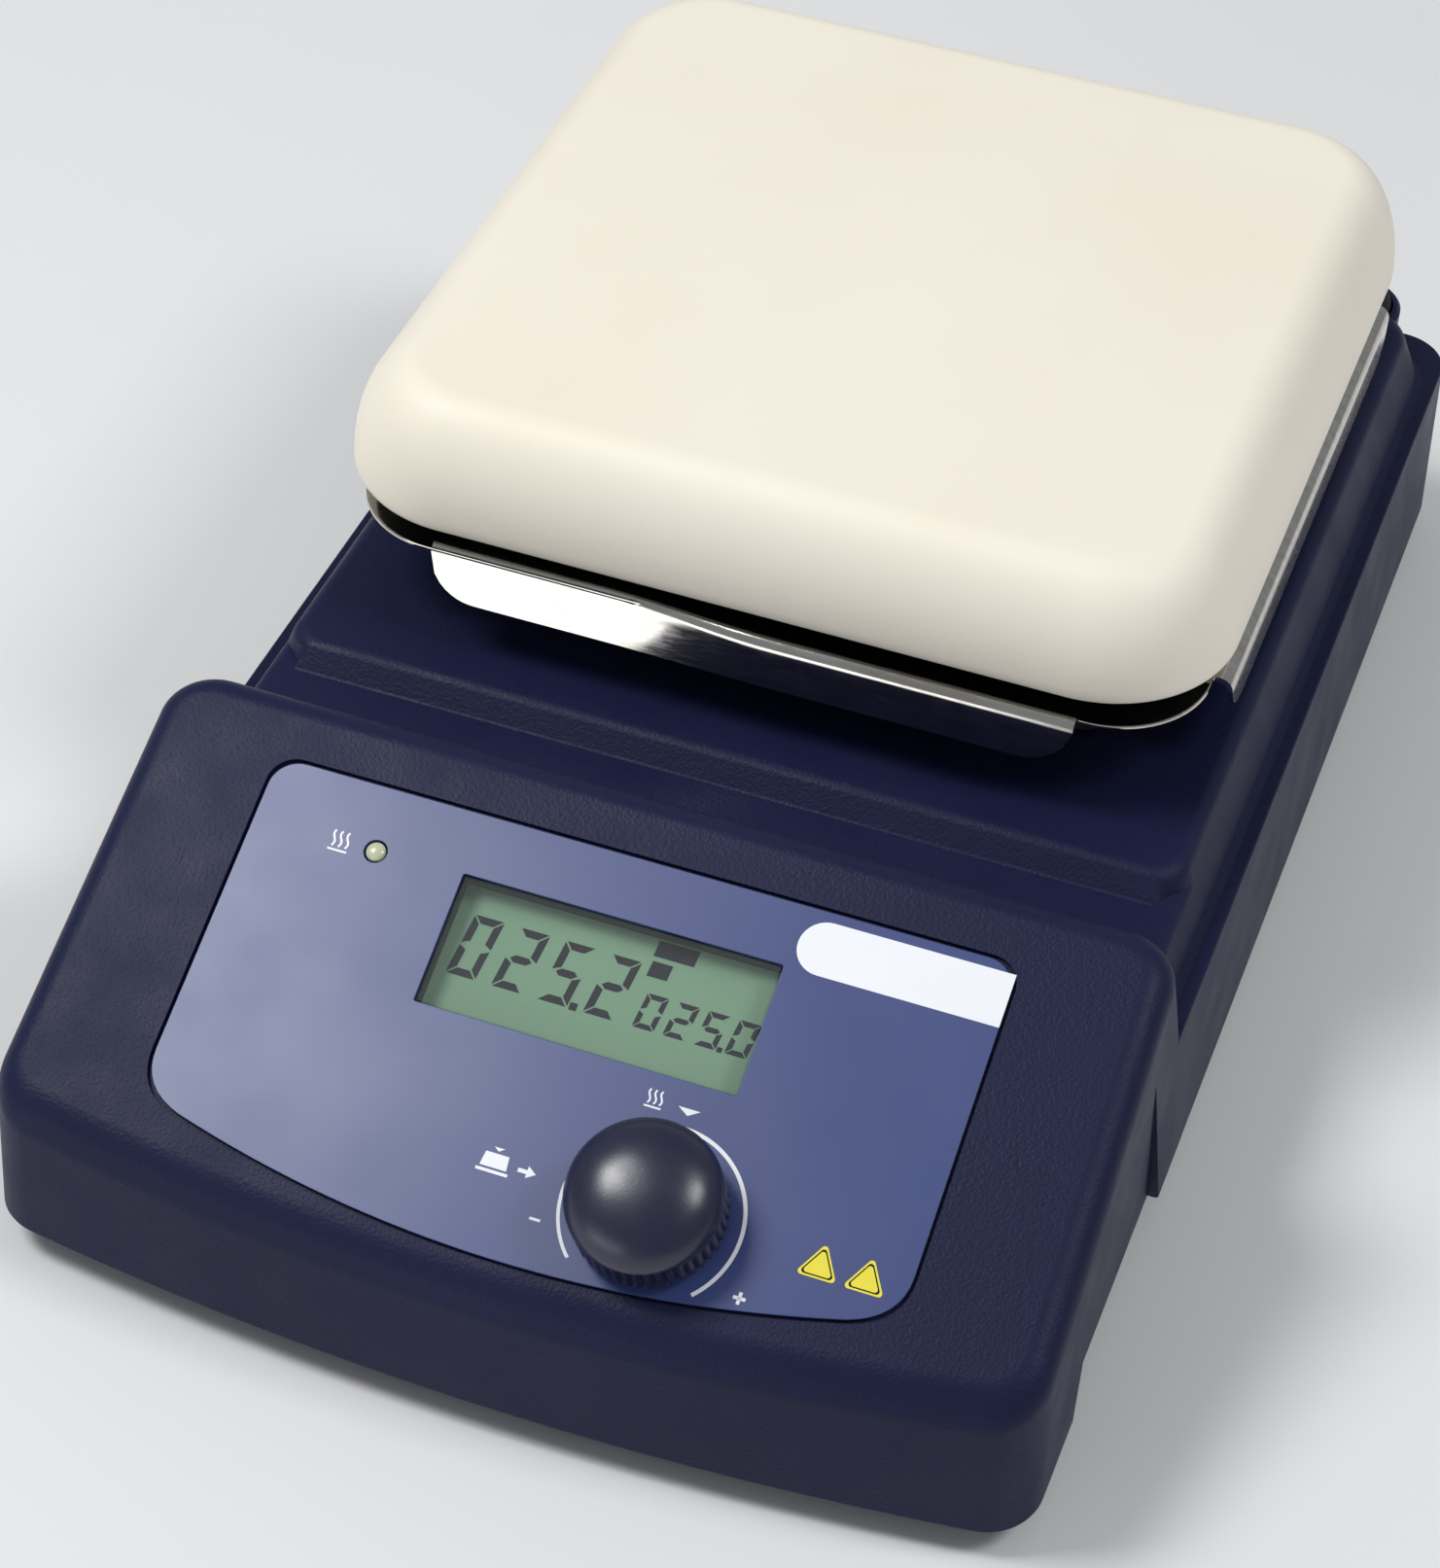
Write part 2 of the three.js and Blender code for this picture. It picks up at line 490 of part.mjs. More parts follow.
function heatKnob() {
  const { radius, height } = KNOB;
  const outside = turned([[0, 1.5], [radius, 1.5], [radius, 6.6], [radius - 0.7, 8.2], [radius - 2.2, 10.4],
    [radius - 4.6, 12.3], [radius - 7.6, 13.3], [0, height]], 48);
  const hollow = turned([[0, 0], [8.4, 0], [8.4, 4], [0, 4]], 32);
  const bore = rod(0, 0, 0, 9.4, 3.25, 24).subtract(block(2, 5, -4, 4, 4.2, 10));
  const grooves = [];
  for (let i = 0; i < KNOB_RIBS; i += 1) {
    const angle = i * 2 * Math.PI / KNOB_RIBS;
    const reach = radius + 0.25;
    grooves.push(rod(Math.cos(angle) * reach, Math.sin(angle) * reach, 2.2, 8.6, 0.6, 6));
  }
  return cut(outside, hollow, bore, ...grooves).translate([KNOB.x, KNOB.y, 0]);
}
add('heat_knob', heatKnob(), NAVY, consoleFace);

// ---------------------------------------------------------------- power electronics on the base
add('power_board', block(-66, 26, 14, 100, BOARD_BOTTOM, BOARD_TOP), BOARD_GREEN);
const transformerCore = block(-60, -24, 60, 92, BOARD_TOP + GAP, 36);
const transformerCoil = block(-52, -32, 56, 96, BOARD_TOP + 4, 32);
add('transformer', join(transformerCore, transformerCoil), COPPER_TAN);
add('relay', block(-12, 8, 70, 90, BOARD_TOP + GAP, 30), BLACK_PLASTIC);
add('terminal_block', block(-12, 12, 34, 44, BOARD_TOP + GAP, 24), BLACK_PLASTIC);
add('filter_capacitor', rod(-50, 40, BOARD_TOP + GAP, 34, 7, 28), BLACK_PLASTIC);

function heatSink() {
  const fins = [];
  for (let i = 0; i < 5; i += 1) {
    fins.push(block(-8 + i * 6, -6 + i * 6, 52, 64, BOARD_TOP + GAP, 38));
  }
  return join(block(-8, 18, 49.5, 52.5, BOARD_TOP + GAP, 38), ...fins);
}
add('heat_sink', heatSink(), ZINC);
add('triac', block(0, 10, 44.8, 49.2, 26, 36), BLACK_PLASTIC);

for (const [side, x] of [['left', -2.6], ['right', 2.6]]) {
  const path = new THREE.CatmullRomCurve3([
    new THREE.Vector3(x, PLATE_Y, 77.4), new THREE.Vector3(x, PLATE_Y, 62), new THREE.Vector3(x, PLATE_Y, 47),
    new THREE.Vector3(x * 1.5, PLATE_Y - 3, 34), new THREE.Vector3(x * 2, PLATE_Y - 5.5, 24.4),
  ]);
  const round = new THREE.Shape().absarc(0, 0, 1.2, 0, Math.PI * 2, false);
  const options = { extrudePath: path, steps: 14, curveSegments: 4, bevelEnabled: false };
  const lead = new THREE.ExtrudeGeometry(round, options);
  add(`element_lead_${side}`, solid(lead), LEAD_WHITE);
}

function ribbonCable() {
  const line = new THREE.SplineCurve(points2d([
    [-60, 31], [-48, 24], [-34, 16.5], [-16, 14.6], [2, 16.4], [13, 18], [20, 17], [24, BOARD_TOP + 0.5],
  ]));
  const half = 0.4;
  const centre = line.getPoints(28);
  const upper = [];
  const lower = [];
  centre.forEach((point, i) => {
    const next = centre[Math.min(i + 1, centre.length - 1)];
    const ahead = next.clone().sub(centre[Math.max(i - 1, 0)]).normalize();
    upper.push(new THREE.Vector2(point.x - ahead.y * half, point.y + ahead.x * half));
    lower.push(new THREE.Vector2(point.x + ahead.y * half, point.y - ahead.x * half));
  });
  const outline = new THREE.Shape([...lower, ...upper.reverse()]);
  const strip = new THREE.ExtrudeGeometry(outline, { depth: 18, bevelEnabled: false });
  return solid(strip.applyMatrix4(sideways).translate(-34, 0, 0));
}
add('ribbon_cable', ribbonCable(), CABLE_GREY);

// ---------------------------------------------------------------- rear: inlet, fuse, switch, sockets
const PIN_DEPTH = 17;         // bottom of the inlet's socket, behind the rear face
const DRAWER_X = 14.5;        // fuse drawer, to the right of the inlet's middle
function mainsInlet() {
  const { x, z, face, depth } = INLET;
  const body = rearBlock(INLET, 0, face - depth, face);
  const socket = block(x - 18, x + 6.5, face - PIN_DEPTH, face + 1, z - 8.2, z + 8.2);
  const drawer = block(x + DRAWER_X - 5, x + DRAWER_X + 5, face - 20, face + 1, z - 9, z + 9);
  return cut(body, socket, drawer);
}
add('mains_inlet', mainsInlet(), BLACK_PLASTIC);
const PIN_X = INLET.x - 5.75;
const PINS = [
  ['line', PIN_X - 7, INLET.z - 2],
  ['neutral', PIN_X + 7, INLET.z - 2],
  ['earth', PIN_X, INLET.z + 2.6],
];
for (const [name, x, z] of PINS) {
  const blade = block(x - 1, x + 1, INLET.face - PIN_DEPTH + GAP, INLET.face - 5.5, z - 2, z + 2);
  add(`inlet_pin_${name}`, blade, BRASS);
}

function fuseDrawer() {
  const x = INLET.x + DRAWER_X;
  const tray = block(x - 4.6, x + 4.6, INLET.face - 19, INLET.face - 0.3, INLET.z - 8.6, INLET.z + 8.6);
  const cradle = block(x - 3.2, x + 5, INLET.face - 17, INLET.face - 3, INLET.z - 6.6, INLET.z + 6.6);
  return cut(tray, cradle);
}
add('fuse_drawer', fuseDrawer(), BLACK_PLASTIC);
const fuse = solid(new THREE.CylinderGeometry(2.5, 2.5, 12.4, 20).rotateX(Math.PI / 2)
  .translate(INLET.x + DRAWER_X - 0.4, INLET.face - 10, INLET.z));
add('fuse_link', fuse, GLASS);

const PIVOT_DEPTH = 3.4;      // the rocker's pivot, behind the rear face
function rockerFrame() {
  const { x, z, face, depth } = ROCKER;
  const body = rearBlock(ROCKER, 0, face - depth, face);
  const pivotHoles = rodAlongX(face - PIVOT_DEPTH, z, x - 6.7, x + 6.7, 1.4);
  return cut(body, block(x - 5.6, x + 5.6, face - 9, face + 1, z - 8.7, z + 8.7), pivotHoles);
}
add('rocker_frame', rockerFrame(), BLACK_PLASTIC);

// The rocker's two faces meet in a shallow V; at rest its lower half is pressed in.
function rockerButton() {
  const bend = 0.105;
  const half = 8.1;
  const section = new THREE.Shape();
  section.moveTo(-half, -1.5);
  section.quadraticCurveTo(0, -5.2, half, -1.5);
  section.lineTo(half, 1.6 + half * bend);
  section.lineTo(0, 1.6);
  section.lineTo(-half, 1.6 + half * bend);
  const along = new THREE.ExtrudeGeometry(section, { depth: 10.4, bevelEnabled: false, curveSegments: 8 });
  along.applyMatrix4(new THREE.Matrix4().makeBasis(
    new THREE.Vector3(0, 0, 1), new THREE.Vector3(0, 1, 0), new THREE.Vector3(-1, 0, 0)));
  const pivotY = ROCKER.face - PIVOT_DEPTH;
  along.translate(5.2, 0, 0).rotateX(-bend).translate(ROCKER.x, pivotY, ROCKER.z);
  return join(solid(along), rodAlongX(pivotY, ROCKER.z, ROCKER.x - 6.4, ROCKER.x + 6.4, 1.2));
}
add('rocker_button', rockerButton(), BLACK_PLASTIC);

function probeSocket() {
  const { x, z, radius, face, depth } = PROBE;
  const sleeve = rodAlongY(x, z, face - depth, face, radius);
  const shell = cut(sleeve, rodAlongY(x, z, face - 9, face + 1, radius - 1.8));
  return join(shell, rodAlongY(x, z + 5.6, face - 9.5, face - 2, 1, 10));
}
add('probe_socket', probeSocket(), ZINC);

const rodSleeve = rod(ROD.x, ROD.y, ROD.foot + GAP, DECK_Z - WALL, ROD.socket);
add('rod_socket', cut(rodSleeve, rod(ROD.x, ROD.y, ROD.foot + 6, 60, ROD.bore, 24)), BRASS);

const capBase = DECK_Z - WALL + GAP;
const capProfile = [
  [0, capBase - CAP.plugLength], [CAP.plug - 0.4, capBase - CAP.plugLength],
  [CAP.plug, capBase - CAP.plugLength + 1], [CAP.plug, capBase], [CAP.radius, capBase],
  [CAP.radius, capBase + 3], [CAP.radius - 0.8, capBase + 4.8], [CAP.plug, capBase + CAP.height - 0.4],
  [0, capBase + CAP.height],
];
add('rod_cap', turned(capProfile, 32).translate([ROD.x, ROD.y, 0]), BLACK_RUBBER);

export default model;
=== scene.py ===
import json
import math

import bmesh
import bpy
from mathutils import Matrix, Vector


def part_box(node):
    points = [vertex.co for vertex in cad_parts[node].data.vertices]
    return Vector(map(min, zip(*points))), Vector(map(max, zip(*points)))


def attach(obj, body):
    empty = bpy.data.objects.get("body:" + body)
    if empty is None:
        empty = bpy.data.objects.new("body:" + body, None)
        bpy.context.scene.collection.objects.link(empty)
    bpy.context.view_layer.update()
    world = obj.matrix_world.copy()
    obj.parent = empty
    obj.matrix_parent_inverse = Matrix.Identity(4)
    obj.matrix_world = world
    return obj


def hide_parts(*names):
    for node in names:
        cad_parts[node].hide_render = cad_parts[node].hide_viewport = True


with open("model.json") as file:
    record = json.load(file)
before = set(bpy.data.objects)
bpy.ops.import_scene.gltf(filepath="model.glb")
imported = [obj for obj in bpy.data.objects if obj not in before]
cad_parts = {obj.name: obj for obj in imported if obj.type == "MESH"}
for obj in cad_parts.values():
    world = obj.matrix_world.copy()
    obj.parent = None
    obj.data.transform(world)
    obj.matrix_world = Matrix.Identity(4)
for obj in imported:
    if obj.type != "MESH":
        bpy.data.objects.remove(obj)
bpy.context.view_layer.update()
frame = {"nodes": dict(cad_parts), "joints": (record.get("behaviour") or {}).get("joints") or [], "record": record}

MM = 0.001

# ---------------------------------------- places taken from the frame, in millimetres
def box_mm(node):
    low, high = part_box(node)
    return low / MM, high / MM


def middle(node):
    low, high = box_mm(node)
    return (low + high) / 2


def half_width(node):
    low, high = box_mm(node)
    return (high.x - low.x) / 2


turn = next(joint for joint in frame["joints"] if joint["name"] == "knob_turn")
FACE_NORMAL = Vector(turn["axis"]).normalized()
FACE_UP = Vector((0, FACE_NORMAL.z, -FACE_NORMAL.y))
KNOB_AT = Vector(turn["pos_m"]) / MM
KNOB_X, KNOB_S = 19.5, -30.2
FACE_ORIGIN = KNOB_AT - Vector((KNOB_X, 0, 0)) - KNOB_S * FACE_UP
FACE_SLOPE = -FACE_NORMAL.y / FACE_NORMAL.z
FACE_MATRIX = Matrix.Translation(FACE_ORIGIN * MM) @ Matrix((
    (1, 0, 0, 0),
    (0, FACE_UP.y, FACE_NORMAL.y, 0),
    (0, FACE_UP.z, FACE_NORMAL.z, 0),
    (0, 0, 0, 1),
))

housing_low, housing_high = box_mm("housing_top")
HALF_WIDTH = housing_high.x
FRONT = housing_low.y
REAR = housing_high.y
BASE_Z = housing_low.z
plate_low, plate_high = box_mm("hot_plate")
PLATE_Y = middle("hot_plate").y
PLATE_HALF = plate_high.x
PLATE_TOP = plate_high.z
PLATE_BOTTOM = plate_low.z
SHIELD_TOP = box_mm("heat_shield")[1].z

# ---------------------------------------- sizes of the moulded housing
BOW = 5.2                 # how far the front edge bows forward
CORNER = 8.8              # upright corners
DRAFT = 0.034             # lean of the walls, per mm of height
SHOULDER = 37.2           # height of the lower body behind the console
SHOULDER_EDGE = 0.45
WALL = 3.0
CONSOLE_APEX_Y = -58.4    # the console's highest line
CONSOLE_APEX_Z = 60.6
CONSOLE_EDGE = 4.5
REAR_LEAN = 0.577         # the console's rear wall leans back by this, per mm of height
REAR_LEAN_FOOT = 15       # height over the base where that lean stops
DECK_HALF = 72.0
DECK_TOP = 48.2
DECK_REAR = 120.6
DECK_EDGE = 2.8
DECK_CORNER = 5.0
DECK_REAR_CORNER = 9.0
DECK_TURN = 0.45          # share of a front corner that keeps the flank's profile
LEDGE_TOP = 44.8          # low strip of deck just behind the console
LEDGE_EDGE = 2.0
RISER_TOP = -33.6         # where the step between ledge and deck meets the deck
RISER_LEAN = 1.06
RISER_FILLET = 1.0
FLANK_LEAN = 0.36
FLANK_FILLET = 1.6
HIDDEN_CORNER = 0.4       # corner of an outline that ends inside another part
SUNK = 6                  # how far a raised part reaches down into what it stands on
SKIN = 0.03               # keeps two joined parts from sharing a surface


# ---------------------------------------- mesh helpers
def mesh_object(name, points, faces, matrix=None):
    mesh = bpy.data.meshes.new(name)
    mesh.from_pydata([(x * MM, y * MM, z * MM) for x, y, z in points], [], faces)
    work = bmesh.new()
    work.from_mesh(mesh)
    bmesh.ops.recalc_face_normals(work, faces=work.faces)
    work.to_mesh(mesh)
    work.free()
    if matrix is not None:
        mesh.transform(matrix)
    mesh.update()
    made = bpy.data.objects.new(name, mesh)
    bpy.context.scene.collection.objects.link(made)
    return made


def loft(name, rings, matrix=None, closed=True):
    """A solid through rings of equal count, with both ends capped unless `closed` is false."""
    count = len(rings[0])
    points = [point for ring in rings for point in ring]
    faces = []
    for level in range(len(rings) - 1):
        start = level * count
        for i in range(count):
            j = (i + 1) % count
            faces.append((start + i, start + j, start + count + j, start + count + i))
    if closed:
        faces.append(tuple(range(count)))
        faces.append(tuple(range(len(points) - count, len(points))))
    return mesh_object(name, points, faces, matrix)


def bake(target):
    """Applies every modifier of an object to its mesh."""
    graph = bpy.context.evaluated_depsgraph_get()
    done = bpy.data.meshes.new_from_object(target.evaluated_get(graph))
    target.modifiers.clear()
    target.data = done
    return target


def boolean(target, tool, operation):
    step = target.modifiers.new("boolean", "BOOLEAN")
    step.object = tool
    step.operation = operation
    step.solver = "EXACT"
    bake(target)
    bpy.data.objects.remove(tool)
    return target


def smooth(target, angle=32, weighted=True):
    mesh = target.data
    mesh.polygons.foreach_set("use_smooth", [True] * len(mesh.polygons))
    mesh.set_sharp_from_angle(angle=math.radians(angle))
    if weighted:
        step = target.modifiers.new("normals", "WEIGHTED_NORMAL")
        step.keep_sharp = True
    return target


def bevel(target, width, segments=2, angle=35):
    step = target.modifiers.new("bevel", "BEVEL")
    step.width = width * MM
    step.segments = segments
    step.limit_method = "ANGLE"
    step.angle_limit = math.radians(angle)
    return bake(target)


def box_solid(name, x0, x1, y0, y1, z0, z1):
    points = [(x, y, z) for z in (z0, z1) for x, y in ((x0, y0), (x1, y0), (x1, y1), (x0, y1))]
    faces = [(0, 1, 2, 3), (4, 5, 6, 7), (0, 1, 5, 4), (1, 2, 6, 5), (2, 3, 7, 6), (3, 0, 4, 7)]
    return mesh_object(name, points, faces)


def circle(x, y, radius, steps, z=0.0):
    angles = [2 * math.pi * i / steps for i in range(steps)]
    return [(x + radius * math.cos(a), y + radius * math.sin(a), z) for a in angles]


def turned(name, profile, at=(0, 0, 0), steps=64, matrix=None):
    """A solid of revolution about Z through `at`; the profile is a list of (radius, height)."""
    rings = [circle(at[0], at[1], max(r, 1e-3), steps, at[2] + z) for r, z in profile]
    return loft(name, rings, matrix)


def turned_to_rear(name, profile, x, y, z, steps=48):
    """A solid of revolution about a line along +Y; heights in the profile are measured towards the rear."""
    place = Matrix.Translation(Vector((x, y, z)) * MM) @ Matrix.Rotation(-math.pi / 2, 4, "X")
    return turned(name, profile, (0, 0, 0), steps, place)


def arc(cx, cy, radius, start, end, steps):
    """Points of an arc from start to end, in degrees."""
    angles = [math.radians(start + (end - start) * i / steps) for i in range(steps + 1)]
    return [(cx + radius * math.cos(a), cy + radius * math.sin(a)) for a in angles]


# ---------------------------------------- the housing's outlines
def outline(half, front, rear, front_radius, rear_radius, bow=0.0, corner=12, steps=28):
    """Counter-clockwise outline of a rounded rectangle whose front edge bows forward by `bow`.
    Each entry is (x, y, share), where share is 1 on the front edge and 0 on the sides and rear."""
    front_radius = max(front_radius, HIDDEN_CORNER)
    rear_radius = max(rear_radius, HIDDEN_CORNER)
    reach = half - front_radius
    lean = math.atan2(2 * bow, reach)
    reach += front_radius * math.sin(lean)
    pivot = front + bow + front_radius * math.cos(lean)
    points = []
    for i in range(steps + 1):
        x = reach * (2 * i / steps - 1)
        points.append((x, front + bow * (x / reach) ** 2, 1.0))
    right = arc(half - front_radius, pivot, front_radius, -90 + math.degrees(lean), 0, corner)
    points += [(x, y, 1 - (i + 1) / corner) for i, (x, y) in enumerate(right[1:])]
    behind = arc(half - rear_radius, rear - rear_radius, rear_radius, 0, 90, corner)
    points += [(x, y, 0.0) for x, y in behind]
    points += [(-x, y, 0.0) for x, y in reversed(behind)]
    points += [(-x, y, 1 - (i + 1) / corner) for i, (x, y) in reversed(list(enumerate(right[1:])))]
    return points


def face_plane_z(y):
    """The console face's height at a place along Y."""
    return FACE_ORIGIN.z + (y - FACE_ORIGIN.y) * FACE_SLOPE


def drafted(x, y, z):
    """Leans the walls inwards; along Y only the points near the front and the rear wall move."""
    lean = DRAFT * (z - BASE_Z)
    x *= 1 - lean / HALF_WIDTH
    if abs(y) > 100:
        y -= math.copysign(lean, y)
    return x, y, z


BOTTOM_EDGE = [(0.8, 0.0), (0.25, 0.25), (0.0, 0.8)]


def quarter(radius, steps):
    """(inset, under) pairs round a soft top edge, from the wall to the top."""
    angles = [math.pi / 2 * i / steps for i in range(steps + 1)]
    return [(radius * (1 - math.cos(a)), radius * (1 - math.sin(a))) for a in angles]


def console_solid(inset, fine):
    """The sloping console. With an inset it is the hollow inside, which needs fewer points."""
    corner, steps, around = (14, 40, 10) if fine else (4, 8, 3)
    drop = inset * math.sqrt(1 + FACE_SLOPE ** 2)
    floor = BASE_Z if fine else BASE_Z - 5

    def placed(point, height=None, under=0.0):
        x, y, _ = point
        settle = (lambda at: face_plane_z(at) - drop - under) if height is None else (lambda at: height)
        leaning = y > CONSOLE_APEX_Y - 2 * CORNER
        x, start, _ = drafted(x, y, settle(y))
        y = start
        for _ in range(8 if leaning else 0):
            y = start + REAR_LEAN * (CONSOLE_APEX_Z - max(settle(y), BASE_Z + REAR_LEAN_FOOT))
        return x, y, settle(y)

    def ring(extra, **where):
        edge = outline(HALF_WIDTH - inset - extra, FRONT + inset + extra, CONSOLE_APEX_Y - inset - extra,
                       CORNER - inset - extra, CORNER - inset - extra, BOW, corner, steps)
        return [placed(point, **where) for point in edge]

    radius = CONSOLE_EDGE - inset / 2
    rings = [ring(extra if fine else 0, height=floor + up) for extra, up in BOTTOM_EDGE]
    rings += [ring(extra, under=under) for extra, under in quarter(radius, around)]
    return loft("console", rings)


def lower_solid(inset, fine):
    """The flat lower body behind the console."""
    corner, steps = (14, 2) if fine else (4, 2)
    floor = BASE_Z if fine else BASE_Z - 5
    half = HALF_WIDTH - inset - 0.02
    top = SHOULDER - inset
    front = CONSOLE_APEX_Y - 14

    def ring(extra, z):
        rear, round_off = REAR - inset - extra, CORNER - inset - extra
        edge = outline(half - extra, front, rear, HIDDEN_CORNER, round_off, 0, corner, steps)
        return [drafted(x, y, z) for x, y, _ in edge]

    rings = [ring(extra if fine else 0, floor + up) for extra, up in BOTTOM_EDGE]
    rings += [ring(extra, top - under) for extra, under in quarter(SHOULDER_EDGE, 4 if fine else 1)]
    return loft("lower", rings)


def flank_profile(top, radius, around):
    """(half width beyond the deck's nominal, z) up the flank: hidden foot, foot fillet, rounded top."""
    lean = math.degrees(math.atan(FLANK_LEAN))
    fillet = FLANK_FILLET
    foot = FLANK_LEAN * (DECK_TOP - SHOULDER - fillet) + fillet / math.cos(math.radians(lean))
    profile = [(foot, SHOULDER - SUNK)]
    profile += arc(foot, SHOULDER + fillet - SKIN, fillet, 270, 180 + lean, 6)
    side = FLANK_LEAN * (DECK_TOP - top)
    tangent = radius * math.tan(math.radians((90 - lean) / 2))
    profile += arc(side - tangent, top - radius, radius, lean, 90, around)
    return profile


def front_profile(radius, around):
    """(y, z) up the deck's sloping front step, matched point for point with flank_profile."""
    lean = math.degrees(math.atan(RISER_LEAN))
    fillet = RISER_FILLET
    foot = RISER_TOP - RISER_LEAN * (DECK_TOP - LEDGE_TOP - fillet) - fillet / math.cos(math.radians(lean))
    profile = [(foot, LEDGE_TOP - SUNK)]
    profile += [(-y, z) for y, z in arc(-foot, LEDGE_TOP + fillet - SKIN, fillet, 270, 180 + lean, 6)]
    tangent = radius * math.tan(math.radians((90 - lean) / 2))
    profile += [(-y, z) for y, z in arc(-RISER_TOP - tangent, DECK_TOP - radius, radius, lean, 90, around)]
    return profile


def eased(value):
    """Takes 0..1 to 0..1 with a soft start and end, and holds values outside."""
    value = min(max(value, 0.0), 1.0)
    return value * value * (3 - 2 * value)


def deck_solid(inset, fine):
    """The raised deck. Its front corners turn the flank's profile into the step's profile."""
    around, corner = (10, 12) if fine else (3, 3)
    sides = flank_profile(DECK_TOP, DECK_EDGE, around)
    fronts = front_profile(DECK_EDGE, around)
    rings = []
    for (beyond, side_z), (front, front_z) in zip(sides, fronts):
        half, rear = DECK_HALF + beyond - inset, DECK_REAR + beyond - inset
        corners = DECK_CORNER + beyond / 2, DECK_REAR_CORNER + beyond / 2
        edge = outline(half, front + inset, rear, *corners, 0, corner, 2)
        ring = []
        for x, y, share in edge:
            turned_in = eased((share - DECK_TURN) / (1 - DECK_TURN))
            ring.append((x, y, side_z + (front_z - side_z) * turned_in - inset))
        rings.append(ring)
    return loft("deck", rings)


def ledge_solid(inset, fine):
    """The low strip of deck behind the console; both its ends are inside other parts."""
    around = 8 if fine else 2
    front, rear = CONSOLE_APEX_Y - 6, RISER_TOP + 30
    rings = []
    for beyond, z in flank_profile(LEDGE_TOP, LEDGE_EDGE, around):
        half = DECK_HALF + beyond - SKIN - inset
        edge = outline(half, front, rear, HIDDEN_CORNER, HIDDEN_CORNER, 0, 2, 2)
        rings.append([(x, y, z - inset) for x, y, _ in edge])
    return loft("ledge", rings)


def housing_form(inset, fine):
    body = console_solid(inset, fine)
    for part in (lower_solid, ledge_solid, deck_solid):
        boolean(body, part(inset, fine), "UNION")
    return body


# ---------------------------------------- the console's printed film and openings
OVERLAY_HALF = 57.0
OVERLAY_TOP = 19.5
OVERLAY_CORNER = 4.5
OVERLAY_SIDE_END = -28.0      # where the straight sides turn into the lower corners
OVERLAY_LOW = -36.4           # where the lower corners turn into the bowed lower edge
OVERLAY_DIP = -43.0           # the lowest point of that edge
OVERLAY_TURN = 7              # width of a lower corner


def overlay_outline(grow, z):
    half, top = OVERLAY_HALF + grow, OVERLAY_TOP + grow
    low, dip, side = OVERLAY_LOW - grow, OVERLAY_DIP - grow, OVERLAY_SIDE_END
    inner = half - OVERLAY_TURN
    points = []
    for i in range(9):
        t = i / 8
        x = (1 - t) ** 2 * -half + 2 * t * (1 - t) * -half + t ** 2 * -inner
        y = (1 - t) ** 2 * side + 2 * t * (1 - t) * (low + 2.2) + t ** 2 * low
        points.append((x, y))
    for i in range(1, 32):
        x = inner * (2 * i / 32 - 1)
        points.append((x, dip + (low - dip) * (x / inner) ** 2))
    points += [(-x, y) for x, y in reversed(points[:9])]
    points += arc(half - OVERLAY_CORNER, top - OVERLAY_CORNER, OVERLAY_CORNER, 0, 90, 10)
    points += arc(-half + OVERLAY_CORNER, top - OVERLAY_CORNER, OVERLAY_CORNER, 90, 180, 10)
    return [(x, y, z) for x, y in points]


def prism_on_face(name, ring, z0, z1):
    rings = [[(x, y, z) for x, y, *_ in ring] for z in (z0, z1)]
    return loft(name, rings, FACE_MATRIX)


def rounded_rect(x0, x1, y0, y1, radius, corner=6):
    """Counter-clockwise outline of a rectangle with rounded corners, as (x, y) points."""
    points = arc(x1 - radius, y0 + radius, radius, -90, 0, corner)
    points += arc(x1 - radius, y1 - radius, radius, 0, 90, corner)
    points += arc(x0 + radius, y1 - radius, radius, 90, 180, corner)
    points += arc(x0 + radius, y0 + radius, radius, 180, 270, corner)
    return points


def on_face(point):
    """A point of the row frame, in millimetres, as (x, s, height) on the console face."""
    offset = Vector(point) - FACE_ORIGIN
    return offset.x, offset.dot(FACE_UP), offset.dot(FACE_NORMAL)


def display_rect(grow, radius=0.3, corner=2):
    """The display opening's outline on the console face, grown on all sides."""
    x, s = DISPLAY_X, DISPLAY_S
    wide, tall = DISPLAY_HALF_W + grow, DISPLAY_HALF_H + grow
    return rounded_rect(x - wide, x + wide, s - tall, s + tall, radius, corner)


DISPLAY_X, DISPLAY_S, _ = on_face(middle("display_window"))
DISPLAY_HALF_W, DISPLAY_HALF_H = 24.5, 10.2
LCD_DEPTH = 4.3
LAMP_X = middle("heat_lamp").x
LAMP_S = 9.5


# ---------------------------------------- procedural materials
def rgb(red, green, blue):
    """A display colour (0 to 255) as linear values."""
    channels = [value / 255 for value in (red, green, blue)]
    return tuple(c / 12.92 if c <= 0.04045 else ((c + 0.055) / 1.055) ** 2.4 for c in channels) + (1.0,)


